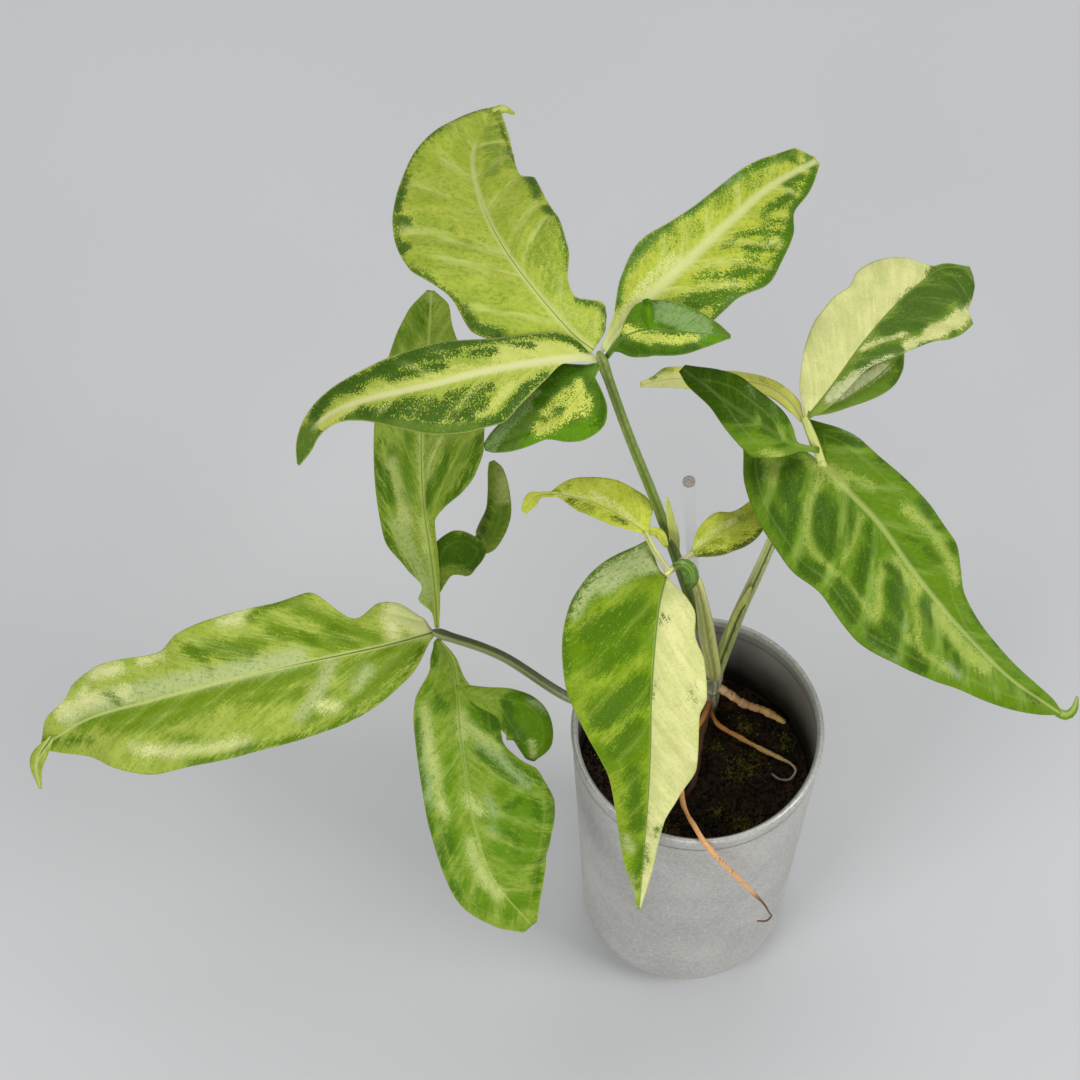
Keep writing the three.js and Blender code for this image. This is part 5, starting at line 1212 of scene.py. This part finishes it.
left_front = dict(
    midrib=[(-83, 15.6, 165.6), (-78.5, 8, 166), (-77, -1, 164), (-76, -13, 160), (-74, -26.5, 152),
            (-71.5, -38.5, 144), (-65.5, -51.5, 131), (-53.5, -60.5, 116)],
    faces=[(0, -0.25, 0.95), (0, -0.55, 0.82)],
    left=[(0, 0.8), (12, 2), (18, 5), (23, 12.5), (35, 13), (42, 18), (46, 23), (58, 26.5), (72, 22),
          (85, 17), (95, 7), (100, 2)],
    right=[(0, 2), (4, 6), (12, 9), (20, 13.5), (28, 14.5), (78, 13.5), (92, 9), (100, 3.5)],
    fold=8, droop=0.1, veined=0.6, veins=[-6, 12, 27, 38, 50, 61, 72, 83, 95], rise=1.1, bend=0.012,
    wave=0.9, quilt=0.6, soft=2.3,
    green=[(4, 0.8, 22, -85, 28, -53), (5, 0.8, 55, -68, 66, -68, 76, -50),
           (3, 0.8, 58, -53, 64, -35, 70, -25), (2.4, 0.8, 59, 55, 66, 57), (2.2, 0.5, 17, 70, 23, 52),
           (2, 0.8, 39, 30, 48, 50), (1.8, 0.8, 52, 32, 56, 48), (3, 0.6, 90, -22, 92, 32),
           (3, 0.4, 78, 60, 85, 48), (2.4, 0.6, 48, -62, 51, -40)],
    sheen=[(2, 1.4, 36, -47, 40, -65, 45, -68, 49, -75), (1.6, 1.5, 30, 80, 41, 82, 51, 88),
           (1.3, 0.7, 53, -22, 58, -28), (1, 1, 62, -18, 64, -22), (1, 0.8, 23, -100, 30, -93)],
    cream=[(1.6, 0.7, 24, 77, 33, 73, 41, 70), (1.2, 0.8, 41, 62, 51, 65, 55, 60),
           (1.2, 0.5, 28, -10, 33, -47, 38, -82), (1.8, 0.6, 65, 18, 71, 20, 78, 15, 84, 10),
           (1.6, 0.5, 52, 0, 56, -10), (1.3, 0.5, 26, -7, 32, -7)],
    dark=[(1.5, 3, 13, -100, 20, -100, 22, -100), (3, 1.6, 20, -80, 26, -72, 30, -88),
          (1.3, 2.5, 34, -90, 41, -90, 47, -88, 49, -93), (1.2, 3, 23, 95, 32, 95, 47, 100, 56, 98, 63, 95),
          (1.4, 2, 65, 90, 71, 93, 77, 90, 81, 82), (1.4, 0.9, 57, 70, 64, 65, 70, 70),
          (1.3, 1, 1, 100, 7, 80), (1.2, 2, 53, -100, 63, -95, 77, -95), (1.6, 0.6, 81, -85, 91, -75),
          (1.2, 0.7, 57, -35, 55, -60), (1, 0.7, 19, 50, 23, 32), (1.2, 0.6, 65, -43, 72, -53),
          (1.4, 0.6, 56, -78, 67, -82), (1.4, 0.7, 38, -35, 43, -47, 49, -60)])
left_front_ear = dict(
    midrib=[(-77, -1, 164.3), (-68, -5, 166), (-60.5, -7, 166), (-53.5, -10, 162), (-51, -15.5, 157),
            (-53.5, -20, 152)],
    faces=[(-0.1, -0.35, 0.93), (0.3, -0.7, 0.6)],
    left=[(0, 2), (30, 4), (60, 5.5), (85, 4.5), (100, 1)],
    right=[(0, 1), (17, 4), (33, 5), (50, 9), (75, 10), (90, 8), (100, 2)],
    fold=-4, droop=0.25, veined=0,
    green=[(8, 2.5, 56, -50, 77, 12, 91, 10)],
    sheen=[(1.6, 1.2, 56, -80, 63, -100)],
    cream=[(0.9, 1, 83, 30, 96, 7)],
    dark=[(2.6, 2.5, 41, 10, 49, 75, 94, 100), (1, 3, 35, -22, 47, -88, 55, -100)])
leaflet("marbled_front_leaflet", "left_leaf_front", front_marbled_skin, [left_front,
        left_front_ear], 81)


# Right leaf. Its long centre leaflet and the one beside it are the darkest green of the plant, with
# a yellow slip behind them and an upper leaflet that is cream on one side of the midrib. They
# grow from the end of the right stalk and the short branch beyond it.
dark_skin = leaf_skin("dark_leaf", "6c8c22", "5a7c16", "62840e", "36560c", "a6b454", "8a9c6e", "8aa44a",
                      "b2bf6c", groove="7c9350", edge=0.7, specks=1.1, streaks=1.0, fingers=0.9, halo=0.45,
                      thread=0.25, midrib_width=0.95, midrib_share=0.6, groove_end=-1, inner=(4.2, 0.2),
                      rim_pale=0.1, roughness=0.4)
right_centre = dict(
    midrib=[(36.5, 43, 226), (41.5, 35.5, 227), (51.5, 24, 225), (61.5, 12, 218), (72, 2.5, 209),
            (82.5, -5, 200), (93.5, -11.5, 191), (109.5, -17.5, 180)],
    faces=[(0, -0.35, 0.93), (0, -0.55, 0.83)],
    left=[(0, 6.5), (4, 11), (10, 14.2), (20, 15), (28, 16.2), (38, 15.8), (46, 12), (54, 7.8), (65, 5.2),
          (80, 4.2), (95, 2.5), (100, 0.6)],
    right=[(0, 13.5), (6, 22.5), (12, 27.5), (20, 29.8), (30, 27.3), (42, 27), (55, 21.8), (65, 17),
           (72, 13.2), (80, 10), (87, 7.5), (94, 4.2), (100, 0.6)],
    fold=8, droop=0.1, heel=(19, 29), heel_power=0.5, veins=[-8, 8, 24, 40, 54, 67, 80, 92, 104], rise=1.3,
    bend=0.016, wave=1.2, quilt=0.7, soft=2,
    green=[(2.4, 0.7, 12, -5, 20, -20, 27, -25), (3, 0.5, 31, -30, 41, -30, 56, -50),
           (2.4, 0.8, 61, 90, 72, 98, 82, 73, 91, 55), (2.4, 0.4, 55, -100, 65, -100),
           (2, 0.6, 13, -57, 18, -75)],
    # Painted glints: the sheen strokes of half width 0.5 mm or less are specks of glare on the glossy blade.
    sheen=[(1.2, 0.8, 5, -100, 7, -100, 9, -100), (1.3, 0.5, 4, 75, 6, 80), (0.45, 0.9, 36, 65, 39, 65),
           (0.4, 0.8, 45, 45, 49, 52), (0.5, 1.2, 43, 85, 48, 90, 54, 95), (1.4, 0.5, 64, 62, 68, 68)],
    cream=[(1, 0.7, 6, 10, 10, 27, 12, 45, 15, 60, 17, 68), (1.1, 1.2, 17, 65, 19, 70, 23, 73, 26, 73),
           (0.8, 0.5, 19, 10, 21, 23, 23, 38, 25, 55), (0.8, 0.8, 26, 73, 30, 70, 35, 68, 40, 68, 43, 68),
           (1.2, 0.9, 32, 20, 35, 38, 39, 52, 42, 68), (0.9, 0.7, 43, 15, 48, 30, 52, 50, 56, 65),
           (0.9, 0.5, 51, 60, 56, 68, 61, 65, 66, 70), (1.3, 1, 3, 23, 4, 38, 4, 52, 6, 62, 7, 65),
           (1.6, 0.5, 3, 60, 4, 68), (2, 0.5, 3, 12, 5, 10), (1, 0.8, 7, -12, 12, -30, 16, -43),
           (1.3, 0.8, 24, -57, 29, -70, 35, -75), (1.3, 1.3, 35, -72, 41, -75, 48, -80),
           (2.2, 0.6, 1, 0, 9, -3), (2.2, 0.7, 51, 10, 58, 15, 66, 23, 73, 20),
           (1.4, 0.6, 33, 10, 38, 10, 43, 7)],
    dark=[(2.2, 1.5, 12, 27, 15, 45, 18, 55, 23, 60), (2, 1.3, 14, 12, 18, 23, 21, 38, 23, 55),
          (2.6, 0.9, 15, 30, 21, 50), (1.6, 1, 22, 12, 25, 18), (2.5, 1.5, 27, 30, 29, 43, 32, 55),
          (1.5, 1, 33, 60, 36, 60), (1.7, 1.2, 33, 20, 36, 18, 41, 23, 45, 30),
          (2.5, 1.3, 38, 30, 42, 40, 47, 45), (1.5, 0.5, 47, 15, 52, 23), (1.3, 0.9, 56, 32, 60, 35),
          (1.2, 0.9, 64, 40, 68, 52),
          (2.3, 1.3, 4, 80, 7, 85, 10, 82, 14, 80, 17, 88, 23, 90, 29, 88, 34, 85, 41, 85, 47, 82, 54, 82,
           60, 85),
          (2.6, 0.9, 9, 57, 12, 57, 14, 75), (1.6, 1.4, 22, 80, 28, 77, 34, 77, 41, 75),
          (2.2, 1.6, 45, 65, 50, 68, 56, 77), (2.8, 1.3, 4, 32, 7, 48, 9, 57), (2, 0.8, 6, 25, 9, 43),
          (1.8, 2, 1, -85, 3, -100, 4, -100), (2, 1, 3, -62, 6, -75, 10, -90),
          (1.5, 0.7, 12, -100, 15, -97), (1.6, 1, 20, -97, 24, -95, 28, -88),
          (1.5, 1.8, 33, -85, 37, -95, 41, -95), (1, 1, 35, -43, 40, -45), (0.8, 0.6, 29, -28, 32, -38),
          (1.2, 0.8, 55, -100, 64, -100, 71, -100), (1.2, 0.8, 83, 7, 91, 15)])
right_centre_tip = dict(
    midrib=[(107, -16.5, 181.5), (111, -17.5, 179.5), (113.5, -16, 180.5), (114.5, -13, 183)],
    faces=[(0, -0.55, 0.83), (0, -0.8, 0.6)],
    left=[(0, 1), (40, 1.2), (100, 0.4)],
    right=[(0, 1.5), (40, 1.8), (100, 0.4)],
    fold=0, droop=0)
leaflet("dark_long_leaflet", "right_leaf_centre", dark_skin, [right_centre, right_centre_tip],
        91)
right_dark = dict(
    midrib=[(33.5, 47.8, 228.8), (26.5, 47.5, 232), (19, 51, 235), (11.5, 56, 236), (3.5, 63.5, 235),
            (-7, 76, 231)],
    faces=[(0, -0.35, 0.93), (-0.15, -0.35, 0.93)],
    left=[(0, 1), (10, 1.2), (15, 3.4), (20, 6), (26, 8.4), (32, 10), (38, 9.5), (50, 7.6), (70, 4.2),
          (88, 3.4), (100, 1.5)],
    right=[(0, 1), (12, 1.1), (20, 4.4), (33, 7.6), (46, 8.6), (62, 8.9), (80, 6.4), (92, 3.5), (100, 1.5)],
    fold=8, droop=0.12, veined=0.2,
    green=[(1.8, 1.3, 35, -72, 26, -57, 17, -50), (1.6, 1, 38, -30, 30, -35), (1.4, 1, 66, -15, 54, -15)],
    sheen=[(1.9, 2, 56, 82, 47, 68, 35, 65), (1.3, 1.4, 66, 100, 56, 100), (1.2, 0.5, 38, 100, 28, 90)],
    cream=[(0.7, 1, 80, 2, 65, 15, 52, 27), (0.8, 1.4, 52, 30, 36, 23, 23, 10),
           (1.2, 0.5, 27, -78, 19, -88)],
    dark=[(8, 3, 91, -30, 71, 5, 53, 10), (3, 3, 35, 7, 24, -5), (5, 1.5, 67, 80, 47, 88, 33, 62)])
leaflet("dark_side_leaflet", "right_leaf_dark_side", dark_skin, [right_dark], 101)
yellow_skin = leaf_skin("yellow_leaf", "ccd450", "bcc640", "8a9a2c", "4f5c1c", "d8dc9a", "a9b870", "ccd272",
                        "d0d478", groove="a2ac40", under="c9cc80", specks=1.2, streaks=0.9, fingers=0.2,
                        halo=0.2, thread=0.15, midrib_width=0.6, midrib_share=0.5, rim_pale=0.25)
right_yellow = dict(
    midrib=[(29, 58, 230.5), (26, 63.5, 231), (20, 69.5, 230), (11, 73.5, 228), (0.5, 76, 225),
            (-10.5, 78.5, 221), (-19.5, 79.5, 216)],
    faces=[(0, -0.3, 0.94), (0, -0.3, 0.94)],
    left=[(0, 0.8), (10, 2.5), (70, 3.5), (85, 2.5), (100, 0.8)],
    right=[(0, 0.8), (10, 2.5), (60, 3), (85, 4), (92, 2), (100, 1)],
    fold=4, droop=0.1,
    green=[(2.2, 0.5, 91, 75, 83, 60), (1.5, 0.2, 22, 88, 30, 90)],
    cream=[(3, 0.3, 100, 7, 76, -43)],
    dark=[(1.2, 0.3, 92, 100, 86, 100)])
# The slip's skin is a brighter copy of the yellow leaflet skin: partly its own pale yellow and partly painted
# light, making up for the shade the dark leaflet above casts on it.
brightened_slip_skin = leaf_skin("yellow_leaf_painted_bright", "f2f07c", "e8e868", "b4c050", "78883c", "f6f6b0", "dfe490",
                      "f2f294", "f4f4a4", groove="cdd070", under="f4f2a0", specks=1.2, streaks=0.9,
                      fingers=0.2, halo=0.2, thread=0.15, midrib_width=0.6, midrib_share=0.5, mottle=0.2)
leaflet("yellow_slip_leaflet", "right_leaf_yellow_side", brightened_slip_skin, [right_yellow], 111)
two_tone_skin = leaf_skin("two_tone_leaf", "7f963a", "6c862c", "628122", "44621c", "d6d590", "b9bf8c",
                          "aab464", "8a9a44", groove="5f7428", edge=0.35, specks=1.4, streaks=1.0,
                          fingers=0.2, halo=0.12, thread=0.1, midrib_width=0.4, midrib_share=0.7,
                          groove_width=0.3, rim_pale=0.2, mottle=0.35)
right_upper = dict(
    midrib=[(30.9, 57.7, 232.2), (38, 65.5, 236.5), (46.5, 77, 240), (56.5, 90, 241), (66, 100.5, 240.5),
            (74.5, 108, 239), (84, 111, 234)],
    faces=[(0, -0.3, 0.94), (0.15, -0.25, 0.94)],
    left=[(0, 1), (3, 4.6), (8, 8.4), (15, 11.6), (25, 14.7), (34, 16.2), (42, 16.2), (51, 14.6), (58, 16),
          (64, 15.2), (70, 12.7), (75, 9.3), (79, 5), (83, 1.6), (100, 1)],
    right=[(0, 1), (6, 3), (28, 6), (40, 10.5), (48, 13.6), (56, 16.5), (64, 20), (72, 21), (83, 20.5),
           (92, 17.5), (97, 12), (100, 6.5)],
    fold=10, droop=0.14, cream_left=0.82,
    green=[(2.5, 1.5, 24, 32, 20, 40, 15, 52), (2.4, 1, 41, 32, 49, 48, 56, 55), (2, 1, 65, 62, 72, 65),
           (1.5, 1.2, 38, 10, 44, 18), (2, 0.8, 47, 62, 51, 73), (4, 0.6, 72, 25, 84, 30)],
    sheen=[(2.6, 3, 12, 38, 19, 98, 28, 100, 38, 100), (1.6, 2, 46, 85, 53, 93)],
    cream=[(2.6, 3, 58, 80, 67, 80, 74, 80, 96, 100), (1.4, 2, 46, 85, 53, 88, 58, 90),
           (0.9, 2, 34, 15, 42, 38, 51, 57), (0.6, 1, 56, 57, 62, 57)],
    dark=[(5, 3, 57, 40, 67, 32, 79, 35, 92, 45), (3.2, 3, 47, 23, 54, 30, 66, 48),
          (2, 2.5, 43, 85, 39, 70, 33, 57, 28, 52), (1.6, 3, 94, 73, 79, 68),
          (2, 2.5, 80, 0, 88, 5, 95, 7, 98, 50, 99, 100), (1, 3, 51, 100, 57, 100),
          (0.8, 3, 65, 95, 69, 90), (2.2, 2, 61, 7, 70, 10, 79, 18)])
right_upper_lobe = dict(
    midrib=[(32, 58.6, 232.8), (38.5, 62, 231), (45, 67, 229.5), (53, 74, 228.5), (62, 84.5, 227)],
    faces=[(0, -0.3, 0.94), (0.15, -0.3, 0.94)],
    left=[(0, 1), (28, 3), (55, 4), (85, 3), (100, 0.8)],
    right=[(0, 1.2), (28, 2.5), (70, 5.5), (88, 4), (100, 0.8)],
    fold=6, droop=0.1,
    green=[(3, 2, 77, 43, 61, 70, 43, 70), (2, 1, 29, 55, 47, 85)],
    sheen=[(1.9, 2, 29, -70, 53, -53, 78, -28)],
    dark=[(1.6, 2, 92, 45, 81, 100, 69, 100)])
leaflet("two_tone_leaflet", "right_leaf_upper", two_tone_skin, [right_upper,
        right_upper_lobe], 121)


# Front leaf. A long drooping leaflet, green on one side of its midrib and cream on the other, two
# small lime side leaflets, a withered thread of a lobe and a dark curled one at the joint. Each
# grows from a short branch of the front stalk.
halved_skin = leaf_skin("halved_leaf", "92aa2c", "7c981a", "608406", "44680a", "e2e09c", "b2be80", "a8b64c",
                        "bcc674", groove="5a7a2c", edge=0.9, specks=1.5, streaks=1.4, fingers=0.3,
                        halo=0.15, thread=0.12, midrib_width=0.4, midrib_share=0.6, groove_width=0.35,
                        inner=(2.6, 0.0), rim_pale=0.4, mottle=0.5)
front_centre = dict(
    midrib=[(-12.5, 16, 205), (-14.5, 6.5, 206), (-16, -5.5, 202), (-17, -19, 192), (-17, -29, 178),
            (-17.5, -39, 160), (-18.5, -48.5, 140), (-19.5, -58, 123)],
    faces=[(0, -0.4, 0.92), (0, -0.8, 0.6)],
    left=[(0, 1.5), (4, 7.5), (10, 11.5), (15, 12), (22, 15.5), (32, 17), (38, 15), (52, 14.5), (62, 9.5),
          (70, 5.5), (85, 3.5), (100, 0.5)],
    right=[(0, 8), (5, 16), (10, 23.5), (15, 27.5), (20, 28.5), (29, 27), (43, 19.5), (57, 12.5), (83, 6.5),
           (95, 2), (100, 0.5)],
    fold=8, droop=0.1, heel=(0, 15), veins=[-22, -8, 6, 20, 33, 46, 60, 74, 90], rise=1.6, bend=0.02,
    wave=0.7, soft=1.9, cream_left=1.1,
    green=[(1.9, 3, 2, 35, 5, 55, 8, 70, 10, 77, 13, 82), (2, 1.2, 10, 75, 12, 80, 15, 85),
           (5.5, 1.4, 11, 18, 15, 40, 17, 57, 21, 77), (5.5, 1.2, 18, 18, 21, 43, 24, 68),
           (5.5, 1.4, 30, 12, 33, 38, 36, 62), (5, 1.4, 41, 20, 49, 40), (3.2, 1.2, 55, 38, 64, 40, 71, 27),
           (2.4, 1.4, 77, 27, 87, 27), (3, 0.9, 46, 88, 52, 80), (2.4, 1, 20, 95, 26, 93)],
    sheen=[(6.5, 3, 3, 77, 6, 88, 8, 88), (2.8, 3, 10, 90, 12, 93, 15, 95), (1.5, 1.5, 1, 52, 1, 40),
           (1.1, 1.6, 76, 75, 80, 60), (0.9, 2.4, 89, 57, 93, 98, 95, 100)],
    dark=[(2.2, 3, 2, 98, 4, 100, 7, 100, 9, 100, 10, 100), (1.6, 2.5, 12, 100, 14, 100, 16, 100),
          (1.2, 2, 17, 100, 23, 98, 27, 95), (4, 0.5, 12, 23, 15, 48, 18, 70), (4, 0.3, 19, 32, 23, 57),
          (4.4, 0.6, 30, 12, 34, 40, 37, 65), (3.6, 0.5, 41, 27, 47, 57),
          (2.4, 0.7, 54, 40, 64, 38, 72, 32), (1.3, 2.2, 79, 5, 83, 7, 88, 27, 92, 62),
          (0.5, 2.5, 30, -70, 33, -82), (0.5, 1.4, 12, -12, 12, -28), (0.35, 1.5, 74, -68, 72, -75)])
leaflet("halved_leaflet", "front_leaf_centre", halved_skin, [front_centre], 131)
front_left = dict(
    midrib=[(-18.5, 31.5, 207), (-23, 34.5, 208), (-29.5, 39, 208), (-35.5, 42.5, 207), (-41.5, 45.5, 205),
            (-47.5, 48.5, 202)],
    faces=[(0, -0.35, 0.93), (0, -0.35, 0.93)],
    left=[(0, 1), (40, 4.5), (65, 4), (90, 1.2), (100, 0.5)],
    right=[(0, 4), (8, 8), (20, 9.5), (35, 9.5), (78, 6.5), (92, 3.5), (100, 0.5)],
    fold=6, droop=0.12,
    green=[(1.6, 0.2, 78, -43, 55, -60), (1.2, 0.5, 29, -35, 20, -28), (1.2, 0.4, 100, 50, 90, 5)],
    cream=[(0.5, 1, 90, -10, 49, 10, 18, 2), (0.35, 1, 61, 35, 30, 23, 6, 2)],
    dark=[(0.5, 0.9, 32, -45, 28, -35), (0.5, 0.9, 23, -32, 19, -25), (0.5, 0.8, 78, -53, 70, -43),
          (0.4, 0.8, 84, 55, 82, 50), (0.4, 0.8, 9, 98, 4, 100)])
front_left_tip = dict(
    midrib=[(-46, 47.5, 203), (-50.5, 49, 200), (-53.5, 49, 197), (-56, 45.5, 195)],
    faces=[(0, -0.35, 0.93), (-0.2, -0.5, 0.8)],
    left=[(0, 0.8), (40, 1), (65, 2.3), (100, 1)],
    right=[(0, 0.8), (40, 1), (65, 2.3), (100, 1)],
    fold=0, droop=0)
front_left_dry = dict(
    midrib=[(-19, 32, 207), (-15.5, 32, 206.5), (-13.5, 31, 205.5), (-11.8, 28.5, 203)],
    faces=[(0, -0.5, 0.85), (0.3, -0.5, 0.7)],
    left=[(0, 0.8), (50, 1.6), (80, 1.2), (100, 0.6)],
    right=[(0, 0.8), (50, 1.6), (80, 1.2), (100, 0.6)],
    fold=0, droop=0)
leaflet("lime_left_leaflet", "front_leaf_left", yellow_skin, [front_left, front_left_tip,
        front_left_dry], 141)
front_right = dict(
    midrib=[(-3.5, 26, 204), (0, 28.5, 205), (5.5, 32, 206), (11, 37, 204), (16.5, 45, 201)],
    faces=[(0, -0.35, 0.93), (0.1, -0.35, 0.93)],
    left=[(0, 1), (22, 5.5), (38, 6.5), (60, 4.5), (80, 3), (100, 2)],
    right=[(0, 2), (12, 4.5), (30, 6.5), (65, 7.5), (92, 5.5), (100, 2)],
    fold=8, droop=0.12,
    green=[(1.4, 0.4, 7, 18, 29, 32), (1.2, 0.5, 67, -7, 82, 12)],
    cream=[(0.5, 1, 7, -43, 32, -30, 61, -30), (0.8, 0.8, 69, -85, 75, -78)],
    dark=[(1.3, 3, 79, 100, 60, 95, 39, 95, 17, 90, 2, 100), (0.6, 0.8, 56, 52, 61, 57),
          (1, 3, 89, 82, 97, 65)])
leaflet("lime_right_leaflet", "front_leaf_right", yellow_skin, [front_right], 151)
front_curl = dict(
    midrib=[(-9.5, 19.5, 207.5), (-7, 19, 209), (-4.8, 17.5, 208), (-4, 16, 204), (-5, 15.5, 199)],
    faces=[(0, -0.5, 0.86), (0.4, -0.6, 0.6)],
    left=[(0, 0.8), (30, 2), (80, 2), (100, 1)],
    right=[(0, 0.8), (25, 3), (60, 3), (100, 1)],
    fold=5, droop=0.1)
curl_skin = leaf_skin("curl_leaf", "5c7f26", "4a6c1a", "58801c", "2f500c", "8fa84c", "84a27c", "6d9034",
                      "7f9c44", thread=0.1, halo=0.0, roughness=0.22, gloss=0.4)
leaflet("curled_leaflet", "front_leaf_curl", curl_skin, [front_curl], 161)
